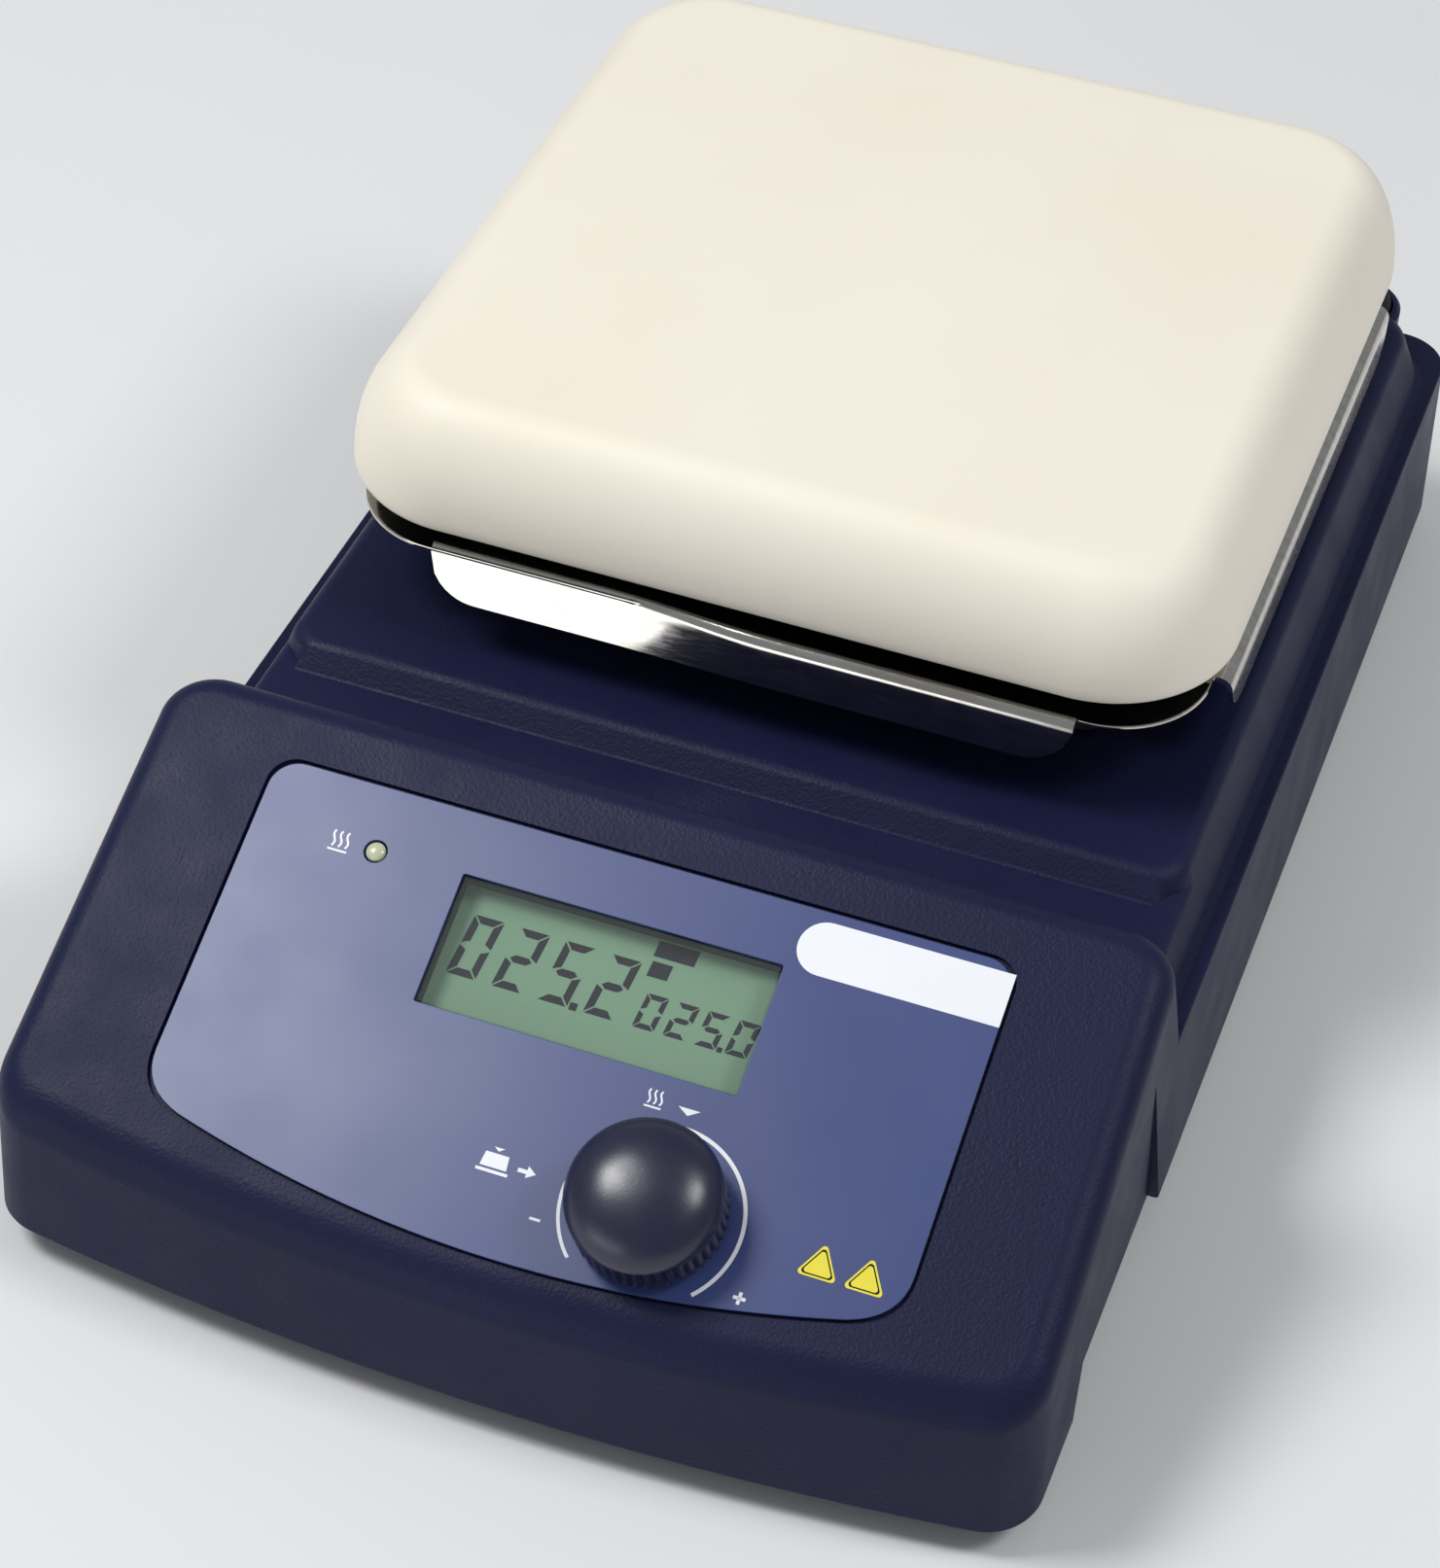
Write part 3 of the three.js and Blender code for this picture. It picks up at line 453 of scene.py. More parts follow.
def material(name, colour, second=None, roughness=0.5, spread=0.05, metallic=0.0, mottle=60.0,
             grain=4000.0, bump=0.0, stretch=(1, 1, 1), coat=0.0, coat_roughness=0.1, alpha=1.0,
             specular=0.5, sheen=0.0):
    """A surface whose colour drifts between two tones, with its own roughness drift and fine relief."""
    made = bpy.data.materials.new(name)
    made.use_nodes = True
    nodes, links = made.node_tree.nodes, made.node_tree.links
    surface = nodes["Principled BSDF"]
    surface.inputs["Metallic"].default_value = metallic
    surface.inputs["Coat Weight"].default_value = coat
    surface.inputs["Coat Roughness"].default_value = coat_roughness
    surface.inputs["Alpha"].default_value = alpha
    surface.inputs["Specular IOR Level"].default_value = specular
    surface.inputs["Sheen Weight"].default_value = sheen
    place = nodes.new("ShaderNodeTexCoord")
    scaled = nodes.new("ShaderNodeMapping")
    scaled.inputs["Scale"].default_value = stretch
    links.new(place.outputs["Object"], scaled.inputs["Vector"])

    def noise(scale, detail):
        field = nodes.new("ShaderNodeTexNoise")
        field.inputs["Scale"].default_value = scale
        field.inputs["Detail"].default_value = detail
        links.new(scaled.outputs["Vector"], field.inputs["Vector"])
        return field.outputs["Fac"]

    drift = nodes.new("ShaderNodeMapRange")
    drift.inputs["From Min"].default_value = 0.3
    drift.inputs["From Max"].default_value = 0.7
    links.new(noise(mottle, 3.0), drift.inputs["Value"])
    tones = nodes.new("ShaderNodeMix")
    tones.data_type = "RGBA"
    tones.inputs["A"].default_value = colour
    tones.inputs["B"].default_value = second or colour
    links.new(drift.outputs["Result"], tones.inputs["Factor"])
    links.new(tones.outputs["Result"], surface.inputs["Base Color"])
    polish = nodes.new("ShaderNodeMapRange")
    polish.inputs["From Min"].default_value = 0.3
    polish.inputs["From Max"].default_value = 0.7
    polish.inputs["To Min"].default_value = max(roughness - spread, 0.02)
    polish.inputs["To Max"].default_value = min(roughness + spread, 1.0)
    links.new(noise(mottle * 3.7, 4.0), polish.inputs["Value"])
    links.new(polish.outputs["Result"], surface.inputs["Roughness"])
    if bump:
        relief = nodes.new("ShaderNodeBump")
        relief.inputs["Distance"].default_value = bump
        relief.inputs["Strength"].default_value = 1.0
        links.new(noise(grain, 2.0), relief.inputs["Height"])
        links.new(relief.outputs["Normal"], surface.inputs["Normal"])
    return made


NAVY = material("navy_moulding", rgb(22, 27, 58), rgb(25, 30, 62), 0.46, 0.05, bump=0.00009, grain=1900,
                mottle=25, specular=0.18)
NAVY_KNOB = material("navy_knob", rgb(20, 24, 50), rgb(24, 28, 56), 0.32, 0.04, bump=0.00001, grain=2400,
                     specular=0.7)
CERAMIC = material("white_ceramic", rgb(247, 240, 224), rgb(244, 236, 218), 0.5, 0.05, mottle=18,
                   bump=0.000006, grain=1500, specular=0.35)
STEEL = material("polished_steel", rgb(214, 212, 206), rgb(196, 192, 182), 0.13, 0.05, 1.0, mottle=90,
                 bump=0.000001, grain=2200, stretch=(1, 8, 8))
FILM = material("printed_film", rgb(56, 69, 121), rgb(60, 74, 127), 0.32, 0.03, bump=0.000003, grain=5200,
                mottle=14)
ZINC = material("zinc_plate", rgb(168, 172, 178), rgb(150, 154, 162), 0.36, 0.08, 1.0, mottle=150,
                bump=0.000004)
DARK_STEEL = material("dark_steel", rgb(44, 45, 49), rgb(34, 35, 38), 0.5, 0.08, 0.6, mottle=80,
                      bump=0.000006)
RUBBER = material("black_rubber", rgb(20, 20, 21), rgb(27, 27, 28), 0.82, 0.06, mottle=120, bump=0.00003,
                  grain=2600)
BLACK = material("black_moulding", rgb(20, 21, 24), rgb(26, 27, 30), 0.4, 0.06, bump=0.00001, grain=3000)
BRASS = material("brass", rgb(196, 160, 90), rgb(176, 140, 72), 0.3, 0.08, 1.0, mottle=160, bump=0.000004)
MICA = material("mica", rgb(176, 152, 104), rgb(150, 126, 84), 0.6, 0.1, mottle=220, bump=0.00001, grain=900)
WOOL = material("mineral_wool", rgb(226, 220, 204), rgb(206, 198, 178), 0.95, 0.03, mottle=300, bump=0.0004,
                grain=1400, sheen=0.3)
WINDOW = material("clear_window", rgb(225, 235, 230), rgb(232, 240, 236), 0.06, 0.02, alpha=0.03, mottle=30,
                  specular=0.2)
LCD = material("lcd_glass", rgb(116, 150, 124), rgb(121, 155, 128), 0.5, 0.03, mottle=26, bump=0.000002,
               specular=0.1)
LCD_INK = material("lcd_ink", rgb(14, 16, 40), rgb(24, 22, 28), 0.5, 0.05, mottle=500, specular=0.1)
BOARD = material("circuit_board", rgb(22, 78, 44), rgb(28, 92, 52), 0.45, 0.1, mottle=400, bump=0.00002,
                 grain=1500)
LENS = material("lamp_lens", rgb(206, 208, 178), rgb(190, 194, 160), 0.25, 0.05, mottle=600, coat=0.5)
FUSE_GLASS = material("fuse_glass", rgb(222, 230, 230), rgb(232, 238, 238), 0.08, 0.03, alpha=0.4, mottle=200)
WINDING = material("winding", rgb(150, 88, 44), rgb(120, 66, 32), 0.4, 0.1, 0.3, mottle=120, bump=0.0002,
                   grain=900, stretch=(1, 1, 6))
ALUMINIUM = material("aluminium", rgb(176, 178, 182), rgb(160, 162, 168), 0.34, 0.08, 1.0, mottle=140,
                     bump=0.000004)
LEAD = material("lead_sleeve", rgb(214, 206, 188), rgb(196, 188, 168), 0.8, 0.05, mottle=900, bump=0.00008,
                grain=2500)
CABLE = material("ribbon", rgb(150, 152, 156), rgb(134, 136, 141), 0.5, 0.05, mottle=60, bump=0.00005,
                 grain=800, stretch=(6, 1, 1))
WHITE_INK = material("white_ink", rgb(244, 246, 250), rgb(240, 243, 248), 0.5, 0.05, mottle=40)
YELLOW_INK = material("yellow_ink", rgb(240, 228, 60), rgb(234, 220, 52), 0.5, 0.05, mottle=200)
FLOOR = material("pale_floor", rgb(238, 238, 237), rgb(234, 234, 234), 0.75, 0.05, mottle=3, bump=0.00002,
                 grain=300)

SLOT_MATERIALS = {
    "housing": NAVY, "steel_dark": DARK_STEEL, "rubber": RUBBER, "ceramic": CERAMIC, "stainless": STEEL,
    "zinc": ZINC, "mica": MICA, "wool": WOOL, "overlay": FILM, "window": WINDOW, "lcd": LCD, "board": BOARD,
    "lens": LENS, "black_plastic": BLACK, "knob": NAVY_KNOB, "brass": BRASS, "fuse_glass": FUSE_GLASS,
    "winding": WINDING, "aluminium": ALUMINIUM, "lead": LEAD, "cable": CABLE,
}
NODE_SLOT = {row["node"]: row["material_slot"] for row in frame["record"]["subparts"]}


def dress(target, paint, body="housing"):
    """Gives a piece its material and the body that it rides on."""
    target.data.materials.clear()
    target.data.materials.append(paint)
    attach(target, body)
    return target


def dress_cad_nodes():
    """Carried-over CAD pieces get their material, softened edges and clean shading."""
    for name, node in frame["nodes"].items():
        node.data.materials.clear()
        node.data.materials.append(SLOT_MATERIALS[NODE_SLOT[name]])
        if node.hide_render:
            continue
        edges = node.modifiers.new("edges", "BEVEL")
        edges.width = 0.25 * MM
        edges.segments = 2
        edges.limit_method = "ANGLE"
        edges.angle_limit = math.radians(50)
        edges.harden_normals = True


# ---------------------------------------- housing
GRIP_LEVELS = ((-1, 2.05, -104.2, -54.6), (41, 0.0, -91.8, -68.6))


def grip_cutter(side):
    """The finger recess in a lower side wall: it deepens downwards and ends in a slanted rear edge.
    Each of its two levels has a height, a depth, a front end and a rear end."""
    shape = []
    for z, depth, front, rear in GRIP_LEVELS:
        wall = HALF_WIDTH - DRAFT * (z - BASE_Z)
        shape.append([(side * (wall - depth), front, z), (side * (wall + 4), front, z),
                      (side * (wall + 4), rear, z), (side * (wall - depth), rear, z)])
    return loft("grip", shape)


def rear_cutters():
    """Openings in the rear wall for the inlet, the switch and the probe socket."""
    gap = 0.25
    for node in ("mains_inlet", "rocker_frame"):
        low, high = box_mm(node)
        yield box_solid("slot", low.x - gap, high.x + gap, REAR - 14, REAR + 5, low.z - gap, high.z + gap)
    probe = middle("probe_socket")
    radius = half_width("probe_socket") + gap
    yield turned_to_rear("hole", [(radius, 0), (radius, 20)], probe.x, REAR - 14, probe.z)


ROD_BOSS = 8.8                # the boss round the rod socket
ROD_COUNTERBORE = 7.45
ROD_BORE = 5.8
LEAD_HOLE = 7                 # where the element's leads pass the deck
ENCODER_HOLE = 4.2
LAMP_HOLE = 1.8


def face_hole(x, s, radius, low, high):
    return turned("hole", [(radius, low), (radius, high)], (x, s, 0), 48, FACE_MATRIX)


def upright_hole(x, y, radius, low, steps):
    """A cutter from a height up to well above the deck."""
    return turned("hole", [(radius, low), (radius, 60)], (x, y, 0), steps)


def build_housing():
    body = housing_form(0.0, True)
    boolean(body, housing_form(WALL, False), "DIFFERENCE")
    boolean(body, prism_on_face("recess", overlay_outline(0.55, 0), -0.8, 6), "DIFFERENCE")
    boolean(body, prism_on_face("opening", display_rect(0.1), -8, 2), "DIFFERENCE")
    boolean(body, face_hole(KNOB_X, KNOB_S, ENCODER_HOLE, -8, 2), "DIFFERENCE")
    boolean(body, face_hole(LAMP_X, LAMP_S, LAMP_HOLE, -8, 2), "DIFFERENCE")
    cap = middle("rod_cap")
    foot, roof, soft = SHOULDER - 8, DECK_TOP - 0.6, 0.6
    boss = [(0.01, foot), (ROD_BOSS, foot), (ROD_BOSS, roof - soft), (ROD_BOSS - soft, roof), (0.01, roof)]
    boolean(body, turned("boss", boss, (cap.x, cap.y, 0), 64), "UNION")
    for side in (-1, 1):
        boolean(body, grip_cutter(side), "DIFFERENCE")
    for cutter in rear_cutters():
        boolean(body, cutter, "DIFFERENCE")
    boolean(body, upright_hole(cap.x, cap.y, ROD_COUNTERBORE, DECK_TOP - WALL, 64), "DIFFERENCE")
    boolean(body, upright_hole(cap.x, cap.y, ROD_BORE, 10, 64), "DIFFERENCE")
    boolean(body, upright_hole(0, PLATE_Y, LEAD_HOLE, 40, 48), "DIFFERENCE")
    body.name = "housing_shell"
    smooth(body, 30)
    dress(body, NAVY)
    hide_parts("housing_top")


# ---------------------------------------- plate and shield
EDGE_IN = 10.7                # the plate's edge is a quarter of an ellipse: its reach inwards
EDGE_DOWN = 18.4              # and its reach downwards
PLATE_CORNER = 20.8
PLATE_THICK = 8.0


def build_plate():
    """A cast plate, hollow below, with a soft pillow edge and a small radius at the underside."""
    def ring(extra, z):
        half, radius = PLATE_HALF - extra, PLATE_CORNER - extra
        points = outline(half, -half, half, radius, radius, 0, 24, 12)
        return [(x, y + PLATE_Y, z) for x, y, _ in points]

    rings = [ring(10.0, PLATE_TOP - PLATE_THICK), ring(9.6, PLATE_BOTTOM + 0.3), ring(9.2, PLATE_BOTTOM)]
    rings += [ring(2.1, PLATE_BOTTOM), ring(0.9, PLATE_BOTTOM + 0.35), ring(0.25, PLATE_BOTTOM + 0.9)]
    for i in range(25):
        angle = math.pi / 2 * i / 24
        rings.append(ring(EDGE_IN * (1 - math.cos(angle)), PLATE_TOP - EDGE_DOWN * (1 - math.sin(angle))))
    rings += [ring(extra, PLATE_TOP) for extra in (14, 22, 34, 50)]
    plate = loft("ceramic_plate", rings)
    smooth(plate, 50)
    dress(plate, CERAMIC)
    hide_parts("hot_plate")


SHEET = 0.8
SHIELD_HALF = 68.0
SHIELD_CORNER = 15.5
FLANGE_FOOT = 70.6            # from the plate's middle to a flange's lower edge
FLANGE_DROP = 7.2
FLANGE_REACH = 51.6           # half the length of a flange
FLANGE_ROUND = 8.2            # its rounded ends
FLANGE_BEND = 1.5
FLANGE_HEM = 0.7              # the drop that is left at the very ends
TWIST_START, TWIST_LENGTH = -22, 26
FRONT_LEANS = (24, 9)         # the front flange leans more at its left end, degrees
OTHER_LEANS = (2, 2)


def flange(side_turn, lean_left, lean_right):
    """One bent edge of the shield, with quarter-round ends; its lean may change along its length."""
    stations, around, down = 96, 6, 8
    bend = FLANGE_BEND
    rows = []
    for i in range(stations + 1):
        x = FLANGE_REACH * (2 * i / stations - 1)
        lean = lean_left + (lean_right - lean_left) * eased((x - TWIST_START) / TWIST_LENGTH)
        over = max(abs(x) - (FLANGE_REACH - FLANGE_ROUND), 0) / FLANGE_ROUND
        drop = FLANGE_HEM + (FLANGE_DROP - FLANGE_HEM) * math.sqrt(max(1 - over ** 2, 0))
        top_y = -FLANGE_FOOT + FLANGE_DROP * math.tan(lean)
        row = [(x, top_y + 7, SHIELD_TOP)]
        for k in range(around + 1):
            angle = (math.pi / 2 - lean) * k / around
            row.append((x, top_y + bend - bend * math.sin(angle), SHIELD_TOP - bend * (1 - math.cos(angle))))
        _, start_y, start_z = row[-1]
        left = max(drop - (SHIELD_TOP - start_z), 0.05)
        for k in range(1, down + 1):
            fall = left * k / down
            row.append((x, start_y - fall * math.tan(lean), start_z - fall))
        rows.append(row)
    width = len(rows[0])
    points = [point for row in rows for point in row]
    faces = []
    for i in range(stations):
        for k in range(width - 1):
            a = i * width + k
            faces.append((a, a + width, a + width + 1, a + 1))
    mesh = bpy.data.meshes.new("flange")
    mesh.from_pydata([tuple(c * MM for c in p) for p in points], [], faces)
    mesh.update()
    made = bpy.data.objects.new("flange", mesh)
    bpy.context.scene.collection.objects.link(made)
    thick = made.modifiers.new("thick", "SOLIDIFY")
    thick.thickness = SHEET * MM
    thick.offset = -1
    bake(made)
    made.data.transform(Matrix.Translation((0, PLATE_Y * MM, 0)) @ Matrix.Rotation(side_turn, 4, "Z"))
    return made


def build_shield():
    """The polished sheet under the plate: a flat square with soft edges and four bent flanges."""
    soft = 0.3
    rings = []
    for extra, under in ((soft, SHEET), (0, SHEET - soft), (0, soft), (soft * 0.3, soft * 0.3), (soft, 0.01)):
        half = SHIELD_HALF - extra
        points = outline(half, -half, half, SHIELD_CORNER, SHIELD_CORNER, 0, 16, 2)
        rings.append([(x, y + PLATE_Y, SHIELD_TOP - under) for x, y, _ in points])
    shield = loft("heat_shield_sheet", rings)
    for index, (left, right) in enumerate((FRONT_LEANS, OTHER_LEANS, OTHER_LEANS, OTHER_LEANS)):
        bent = flange(index * math.pi / 2, math.radians(left), math.radians(right))
        boolean(shield, bent, "UNION")
    smooth(shield, 40)
    dress(shield, STEEL)
    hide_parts("heat_shield")


# ---------------------------------------- knob
KNOB_RADIUS = 11.2
KNOB_LOW, KNOB_WALL_TOP, KNOB_TOP = 1.5, 7.8, 13.6
KNOB_RIBS = 44
RIB_DEPTH = 0.45
RIB_FADE = 0.5                # height over which the grooves run out below the dome
SHAFT_BORE, SHAFT_BORE_TOP = 3.25, 9.4
UNDERSIDE, UNDERSIDE_TOP = 8.4, 4.2


def build_knob():
    """A domed cap with a grooved skirt, hollow below, with a bore for the encoder's shaft."""
    radius, low, wall_top = KNOB_RADIUS, KNOB_LOW, KNOB_WALL_TOP
    hem = low + 0.45
    profile = [(0.01, SHAFT_BORE_TOP), (SHAFT_BORE, SHAFT_BORE_TOP), (SHAFT_BORE, UNDERSIDE_TOP),
               (UNDERSIDE, UNDERSIDE_TOP), (UNDERSIDE, low), (radius - 0.5, low)]
    skirt_starts = len(profile)
    profile += [(radius - 0.15, low + 0.12), (radius, hem)]
    straight = wall_top - RIB_FADE - hem
    profile += [(radius, hem + straight * k / 4) for k in range(1, 5)]
    profile += [(radius, wall_top - RIB_FADE + RIB_FADE * k / 4) for k in range(1, 5)]
    for k in range(1, 25):
        angle = math.pi / 2 * k / 24
        dome = wall_top + (KNOB_TOP - wall_top) * math.sin(angle)
        profile.append((max(radius * math.cos(angle) ** 0.9, 0.01), dome))
    steps = KNOB_RIBS * 8
    rings = []
    for index, (r, z) in enumerate(profile):
        fade = min(max((wall_top - z) / RIB_FADE, 0), 1) if index >= skirt_starts else 0
        ring = []
        for i in range(steps):
            angle = 2 * math.pi * i / steps
            groove = max(math.cos(angle * KNOB_RIBS), -0.3) + 0.3
            reach = r - fade * RIB_DEPTH * groove
            ring.append((KNOB_X + reach * math.cos(angle), KNOB_S + reach * math.sin(angle), z))
        rings.append(ring)
    knob = loft("heat_knob_cap", rings, FACE_MATRIX)
    smooth(knob, 60, weighted=False)
    dress(knob, NAVY_KNOB, "knob")
    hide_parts("heat_knob")


# ---------------------------------------- film, print and display
def build_film():
    """The printed film, with openings for the display, the encoder's nut and the lamp."""
    film = prism_on_face("console_film", overlay_outline(0, 0), -0.5, 0)
    boolean(film, prism_on_face("hole", display_rect(0), -2, 2), "DIFFERENCE")
    boolean(film, face_hole(KNOB_X, KNOB_S, 6.4, -2, 2), "DIFFERENCE")
    boolean(film, face_hole(LAMP_X, LAMP_S, 1.75, -2, 2), "DIFFERENCE")
    bevel(film, 0.12, 2, 50)
    smooth(film, 40)
    dress(film, FILM)
    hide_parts("control_overlay")


def flat_marks(name, shapes, z0, z1, paint):
    """Thin printed marks on the console: each shape is a closed outline of (x, s) points."""
    points, faces = [], []
    for shape in shapes:
        count, start = len(shape), len(points)
        points += [(x, s, z) for z in (z0, z1) for x, s in shape]
        faces.append(tuple(range(start, start + count)))
        faces.append(tuple(range(start + count, start + 2 * count)))
        for i in range(count):
            j = (i + 1) % count
            faces.append((start + i, start + j, start + count + j, start + count + i))
    marks = mesh_object(name, points, faces, FACE_MATRIX)
    dress(marks, paint)
    return marks


def band(path, width):
    """Outline of a line of constant width along a path."""
    left, right = [], []
    for i, (x, y) in enumerate(path):
        x0, y0 = path[max(i - 1, 0)]
        x1, y1 = path[min(i + 1, len(path) - 1)]
        length = math.hypot(x1 - x0, y1 - y0)
        nx, ny = -(y1 - y0) / length * width / 2, (x1 - x0) / length * width / 2
        left.append((x + nx, y + ny))
        right.append((x - nx, y - ny))
    return left + right[::-1]


def strip(x0, x1, s0, s1):
    return [(x0, s0), (x1, s0), (x1, s1), (x0, s1)]


def heat_symbol(x, s, size):
    """Three rising wavy lines over a bar, a plain sign for heat."""
    shapes = []
    for column in (-0.42, 0.0, 0.42):
        rise = [k / 14 for k in range(15)]
        path = [(x + size * (column + 0.1 * math.sin(6.0 * t)), s + size * (t - 0.5)) for t in rise]
        shapes.append(band(path, size * 0.13))
    shapes.append(strip(x - size * 0.6, x + size * 0.6, s - size * 0.78, s - size * 0.65))
    return shapes


def rounded_triangle(x, s, size, radius):
    """An upright triangle of straight sides and rounded corners, reaching `size` from its middle."""
    shape = []
    for corner in (90, 210, 330):
        reach = size - radius
        cx = x + reach * math.cos(math.radians(corner))
        cs = s + reach * math.sin(math.radians(corner))
        shape += arc(cx, cs, radius, corner - 60, corner + 60, 6)
    return shape


def dial_scale():
    """The dial's scale: a thin arc for low settings, a thicker one for high, and a pointer above."""
    radius = 13.05
    low = band(arc(KNOB_X, KNOB_S, radius, 226, 127, 34), 0.5)
    high = band(arc(KNOB_X, KNOB_S, radius, 98, -45.5, 48), 0.58)
    pointer = [(KNOB_X - 1.7, KNOB_S + 15.95), (KNOB_X + 1.6, KNOB_S + 15.95), (KNOB_X, KNOB_S + 14.9)]
    return [low, high, pointer]


def push_sign():
    """A key on its base with a small wedge above, and an arrow towards the knob."""
    key = [(-6.1, -30.5), (-2.1, -30.5), (-2.35, -28.4), (-5.85, -28.4)]
    base = strip(-6.5, -1.7, -31.3, -30.85)
    wedge = [(-4.9, -27.5), (-3.3, -27.5), (-4.1, -28.05)]
    tail, head, tip, line = -0.6, 0.75, 2.1, -29.7
    arrow = [(tail, line - 0.3), (head, line - 0.3), (head, line - 0.9), (tip, line),
             (head, line + 0.9), (head, line + 0.3), (tail, line + 0.3)]
    return [key, base, wedge, arrow]


def range_signs():
    """The minus at the low end of the scale and the plus at its high end."""
    minus = strip(3.4, 5.0, -36.0, -35.6)
    plus = [strip(34.2, 36.0, -38.2, -37.7), strip(34.85, 35.35, -38.85, -37.05)]
    return [minus] + plus


def build_print():
    shapes = dial_scale() + push_sign() + range_signs()
    shapes += heat_symbol(LAMP_X - 5.6, LAMP_S + 0.3, 2.5)
    shapes += heat_symbol(KNOB_X - 5.2, KNOB_S + 16.2, 2.1)
    flat_marks("console_marks", shapes, -0.05, 0.03, WHITE_INK)
    pill_x, pill_s, pill_radius = 30.0, 13.9, 4.1
    pill = arc(pill_x, pill_s, pill_radius, 90, 270, 18)
    pill += [(OVERLAY_HALF, pill_s - pill_radius), (OVERLAY_HALF, pill_s + pill_radius)]
    flat_marks("blank_label", [pill], -0.05, 0.04, WHITE_INK)
    centres = [(44.1, -30.4), (50.9, -30.4)]
    signs = [rounded_triangle(x, s, 3.0, 0.5) for x, s in centres]
    lines = [rounded_triangle(x, s, 2.5, 0.45) for x, s in centres]
    fields = [rounded_triangle(x, s, 2.15, 0.4) for x, s in centres]
    flat_marks("blank_signs", signs, -0.05, 0.03, YELLOW_INK)
    flat_marks("blank_sign_lines", lines, -0.05, 0.04, LCD_INK)
    flat_marks("blank_sign_fields", fields, -0.05, 0.05, YELLOW_INK)


SEGMENTS = {"0": "abcdef", "2": "abged", "5": "afgcd"}
SLANT = 0.117                 # the numerals lean by this, per mm of height


def segment_shapes(width, height, bar, gap):
    """Outlines of the seven bars of a numeral cell, from its lower left corner."""
    w, h, t, g, m = width, height, bar, gap, height / 2
    return {
        "a": [(g, h), (w - g, h), (w - g - t, h - t), (g + t, h - t)],
        "d": [(g, 0), (w - g, 0), (w - g - t, t), (g + t, t)],
        "f": [(0, h - g), (0, m + g), (t, m + g + t / 2), (t, h - g - t)],
        "e": [(0, g), (0, m - g), (t, m - g - t / 2), (t, g + t)],
        "b": [(w, h - g), (w, m + g), (w - t, m + g + t / 2), (w - t, h - g - t)],
        "c": [(w, g), (w, m - g), (w - t, m - g - t / 2), (w - t, g + t)],
        "g": [(g + t * 0.4, m), (g + t, m + t / 2), (w - g - t, m + t / 2), (w - g - t * 0.4, m),
              (w - g - t, m - t / 2), (g + t, m - t / 2)],
    }


def numerals(text, x, s, width, height, pitch, bar):
    """Outlines of a row of seven-bar numerals; a point sits after the numeral before it."""
    cells = segment_shapes(width, height, bar, bar * 0.16)
    shapes = []
    column = 0
    for mark in text:
        if mark == ".":
            left = x + (column - 1) * pitch + width + bar * 0.3
            shapes.append(strip(left, left + bar, s - bar * 0.2, s + bar * 0.8))
            continue
        for bar_name in SEGMENTS[mark]:
            shapes.append([(x + column * pitch + px + SLANT * py, s + py) for px, py in cells[bar_name]])
        column += 1
    return shapes


def build_display():
    """The display under its window: a black case with a well, the glass, and numerals on it."""
    case = prism_on_face("display_case", display_rect(3.4, 1.0, 3), -8.8, -3.4)
    boolean(case, prism_on_face("well", display_rect(0.25), -LCD_DEPTH - 0.4, 0), "DIFFERENCE")
    smooth(case)
    dress(case, BLACK)
    glass = prism_on_face("display_glass", display_rect(0.2), -LCD_DEPTH - 0.35, -LCD_DEPTH)
    bevel(glass, 0.1)
    smooth(glass)
    dress(glass, LCD)
    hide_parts("lcd_module")
    shapes = numerals("025.2", -22.4, -3.7, 4.6, 9.6, 7.08, 1.15)
    shapes += numerals("025.0", 6.3, -3.65, 3.3, 5.4, 4.67, 0.78)
    for x, s, w, h in ((5.7, 7.35, 6.2, 2.5), (5.75, 4.2, 3.1, 2.4)):
        shapes.append([(x, s), (x + w, s), (x + w + 0.2, s + h), (x + 0.2, s + h)])
    flat_marks("display_numerals", shapes, -LCD_DEPTH - 0.05, -LCD_DEPTH + 0.04, LCD_INK)


# ---------------------------------------- small round pieces
def quarter_turn(steps):
    """Angles up a quarter circle, without the first."""
    return [math.pi / 2 * k / steps for k in range(1, steps + 1)]


def build_lamp():
    radius, foot, neck, rise = 1.5, -13.5, -0.3, 0.75
    profile = [(0.01, foot), (radius, foot), (radius, neck)]
    profile += [(radius * math.cos(a), neck + rise * math.sin(a)) for a in quarter_turn(8)]
    lamp = turned("heat_lamp_lens", profile, (LAMP_X, LAMP_S, 0), 48, FACE_MATRIX)
    smooth(lamp, 40, weighted=False)
    dress(lamp, LENS)
    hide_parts("heat_lamp")


def build_rod_cap():
    """A domed cap with a rim, on a stem that fits the rod socket."""
    low, high = box_mm("rod_cap")
    at = middle("rod_cap")
    radius, stem, soft = half_width("rod_cap"), 4, 0.3
    rim = high.z - 6.2
    dome = rim + 2.2
    profile = [(0.01, low.z), (stem - 0.4, low.z), (stem, low.z + 1), (stem, rim), (radius - soft, rim),
               (radius, rim + soft), (radius, dome)]
    profile += [(radius * math.cos(a) ** 0.8 + 0.01, dome + (high.z - dome) * math.sin(a))
                for a in quarter_turn(12)]
    cap = turned("rod_socket_cap", profile, (at.x, at.y, 0), 64)
    smooth(cap, 40, weighted=False)
    dress(cap, RUBBER, "socket_cap")
    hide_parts("rod_cap")


CORNERS = ("front_left", "front_right", "rear_left", "rear_right")


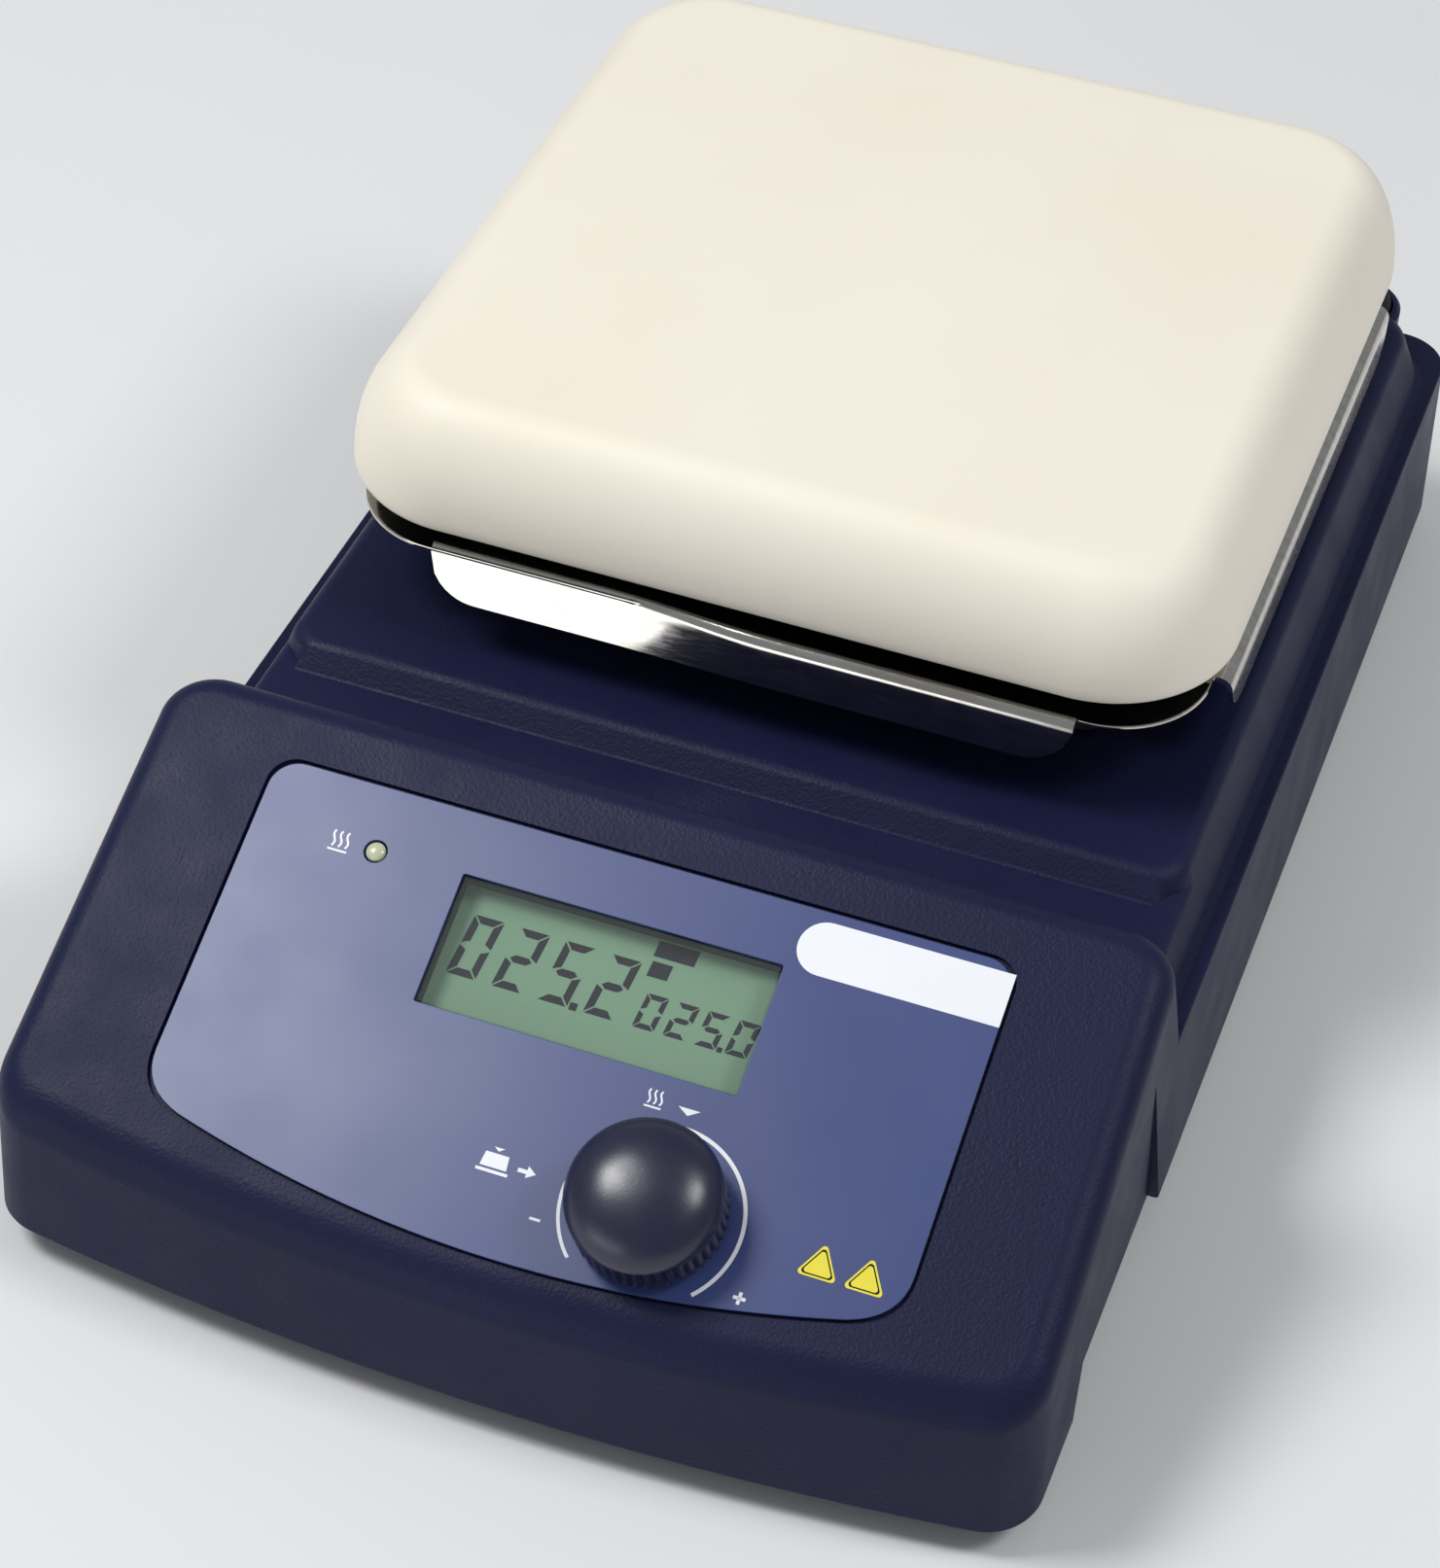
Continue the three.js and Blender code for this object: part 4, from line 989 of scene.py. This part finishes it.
def build_posts():
    """Support posts: a stout lower part with chamfered ends and a grooved waist."""
    stud, chamfer, waist = 2.5, 0.4, 0.5
    for place in CORNERS:
        node = "support_post_" + place
        low, high = box_mm(node)
        at = middle(node)
        radius, step = half_width(node), SHIELD_TOP - 1.3
        profile = [(0.01, low.z), (radius - chamfer, low.z), (radius, low.z + chamfer), (radius, low.z + 4),
                   (radius - waist, low.z + 4.5), (radius - waist, step - 3.5), (radius, step - 3),
                   (radius, step - chamfer), (radius - chamfer, step), (stud, step), (stud, high.z),
                   (0.01, high.z)]
        post = turned(node + "_turned", profile, (at.x, at.y, 0), 48)
        smooth(post, 40, weighted=False)
        dress(post, ZINC)
        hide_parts(node)


def build_probe_socket():
    """Round panel socket: a chamfered metal ring with a notch, and an insert with five contacts."""
    face = box_mm("probe_socket")[1].y
    at, radius = middle("probe_socket"), half_width("probe_socket")
    x, z = at.x, at.z
    length, well = 16, 8
    bore = radius - 1.9
    ring = [(0.01, 0), (radius, 0), (radius, length - 0.6), (radius - 0.6, length), (bore + 0.4, length),
            (bore, length - 0.4), (bore, well), (0.01, well)]
    shell = turned_to_rear("probe_socket_ring", ring, x, face - length, z, 64)
    notch = box_solid("notch", x - 0.9, x + 0.9, face - 5, face + 1, z + radius - 2.6, z + radius - 1)
    boolean(shell, notch, "DIFFERENCE")
    smooth(shell, 35)
    dress(shell, ZINC)
    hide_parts("probe_socket")
    core = radius - 2.1
    core_profile = [(0.01, 0), (core, 0), (core, 3.6), (core - 0.4, 4), (0.01, 4)]
    insert = turned_to_rear("probe_socket_insert", core_profile, x, face - 7.9, z, 64)
    smooth(insert, 35)
    dress(insert, BLACK)
    pin_profile = [(0.01, 0), (0.55, 0), (0.55, 2.6), (0.3, 3), (0.01, 3)]
    pin_circle = 3.2
    for i in range(5):
        angle = math.radians(90 + 72 * i)
        pin_x, pin_z = x + pin_circle * math.cos(angle), z + pin_circle * math.sin(angle)
        contact = turned_to_rear("probe_contact_%d" % (i + 1), pin_profile, pin_x, face - 4.2, pin_z, 24)
        smooth(contact, 35, weighted=False)
        dress(contact, BRASS)


def build_feet():
    """Rubber feet with rounded rims and a stepped hole for their screw."""
    head_hole, screw_hole, head_depth = 4.2, 2.1, 3.6
    for place in CORNERS:
        node = "foot_" + place
        top = box_mm(node)[1].z
        at, radius = middle(node), half_width(node)
        profile = [(head_hole, head_depth), (head_hole, 0.3), (head_hole + 0.3, 0.0), (radius - 1.6, 0.0),
                   (radius - 0.5, 0.35), (radius, 1.1), (radius - 0.15, 2.4), (radius - 0.9, top),
                   (4.3, top), (screw_hole, top), (screw_hole, head_depth)]
        rings = [circle(at.x, at.y, r, 48, z) for r, z in profile]
        rings.append(rings[0])
        foot = loft(node + "_pad", rings, closed=False)
        work = bmesh.new()
        work.from_mesh(foot.data)
        bmesh.ops.remove_doubles(work, verts=work.verts, dist=1e-7)
        bmesh.ops.recalc_face_normals(work, faces=work.faces)
        work.to_mesh(foot.data)
        work.free()
        smooth(foot, 40, weighted=False)
        dress(foot, RUBBER)
        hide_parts(node)


# ---------------------------------------- camera, lights, floor
# The camera was solved from the plate's outline, the housing's lower edge and the display's corners.
CAMERA_AT = Vector((137.3, -447.38, 441.3))
CAMERA_RIGHT = Vector((0.9375790, 0.3458895, 0.0361394))
CAMERA_DOWN = Vector((0.2589849, -0.6250776, -0.7363456))
CAMERA_AHEAD = Vector((-0.2321043, 0.6997417, -0.6756398))
FOCAL_LENGTH = 89.107
SENSOR = 36
FRAME_ASPECT = 1481 / 1613


def build_camera():
    data = bpy.data.cameras.new("camera")
    data.sensor_fit = "VERTICAL"
    data.sensor_height = SENSOR
    data.sensor_width = SENSOR * FRAME_ASPECT
    data.lens = FOCAL_LENGTH
    data.clip_start = 0.01
    data.clip_end = 20
    camera = bpy.data.objects.new("camera", data)
    place = Matrix((CAMERA_RIGHT, -CAMERA_DOWN, -CAMERA_AHEAD)).transposed().to_4x4()
    place.translation = CAMERA_AT * MM
    camera.matrix_world = place
    bpy.context.scene.collection.objects.link(camera)
    bpy.context.scene.camera = camera


LIT_POINT = Vector((0, 0, 0.06))


def soft_light(name, direction, distance, size, watts):
    """A rectangular area light that faces the object's middle from a direction and a distance in metres."""
    data = bpy.data.lights.new(name, "AREA")
    data.shape = "RECTANGLE"
    data.size, data.size_y = size
    data.energy = watts
    light = bpy.data.objects.new(name, data)
    toward = Vector(direction).normalized()
    light.location = LIT_POINT + toward * distance
    light.rotation_euler = toward.to_track_quat("Z", "Y").to_euler()
    light.visible_camera = False
    bpy.context.scene.collection.objects.link(light)


FLOOR_HALF = 6000
FLOOR_Z = -0.02


def build_studio():
    corners = ((-1, -1), (1, -1), (1, 1), (-1, 1))
    points = [(FLOOR_HALF * x, FLOOR_HALF * y, FLOOR_Z) for x, y in corners]
    floor = mesh_object("floor", points, [(0, 1, 2, 3)])
    floor.data.materials.append(FLOOR)
    soft_light("left_softbox", (-0.49, -0.20, 0.85), 1.2, (0.36, 0.42), 8.2)
    soft_light("right_softbox", (0.60, 0.0, 0.80), 1.3, (0.36, 0.36), 5)
    soft_light("front_card", (-0.42, -0.9, 0.06), 1.1, (0.7, 0.35), 1.4)
    world = bpy.data.worlds.new("studio")
    world.use_nodes = True
    background = world.node_tree.nodes["Background"]
    background.inputs["Color"].default_value = (0.9, 0.93, 1.0, 1)
    background.inputs["Strength"].default_value = 0.3
    bpy.context.scene.world = world
    bpy.context.scene.view_settings.view_transform = "Standard"


build_camera()
build_studio()
build_housing()
build_plate()
build_shield()
build_knob()
build_film()
build_print()
build_display()
build_lamp()
build_rod_cap()
build_feet()
build_posts()
build_probe_socket()
dress_cad_nodes()
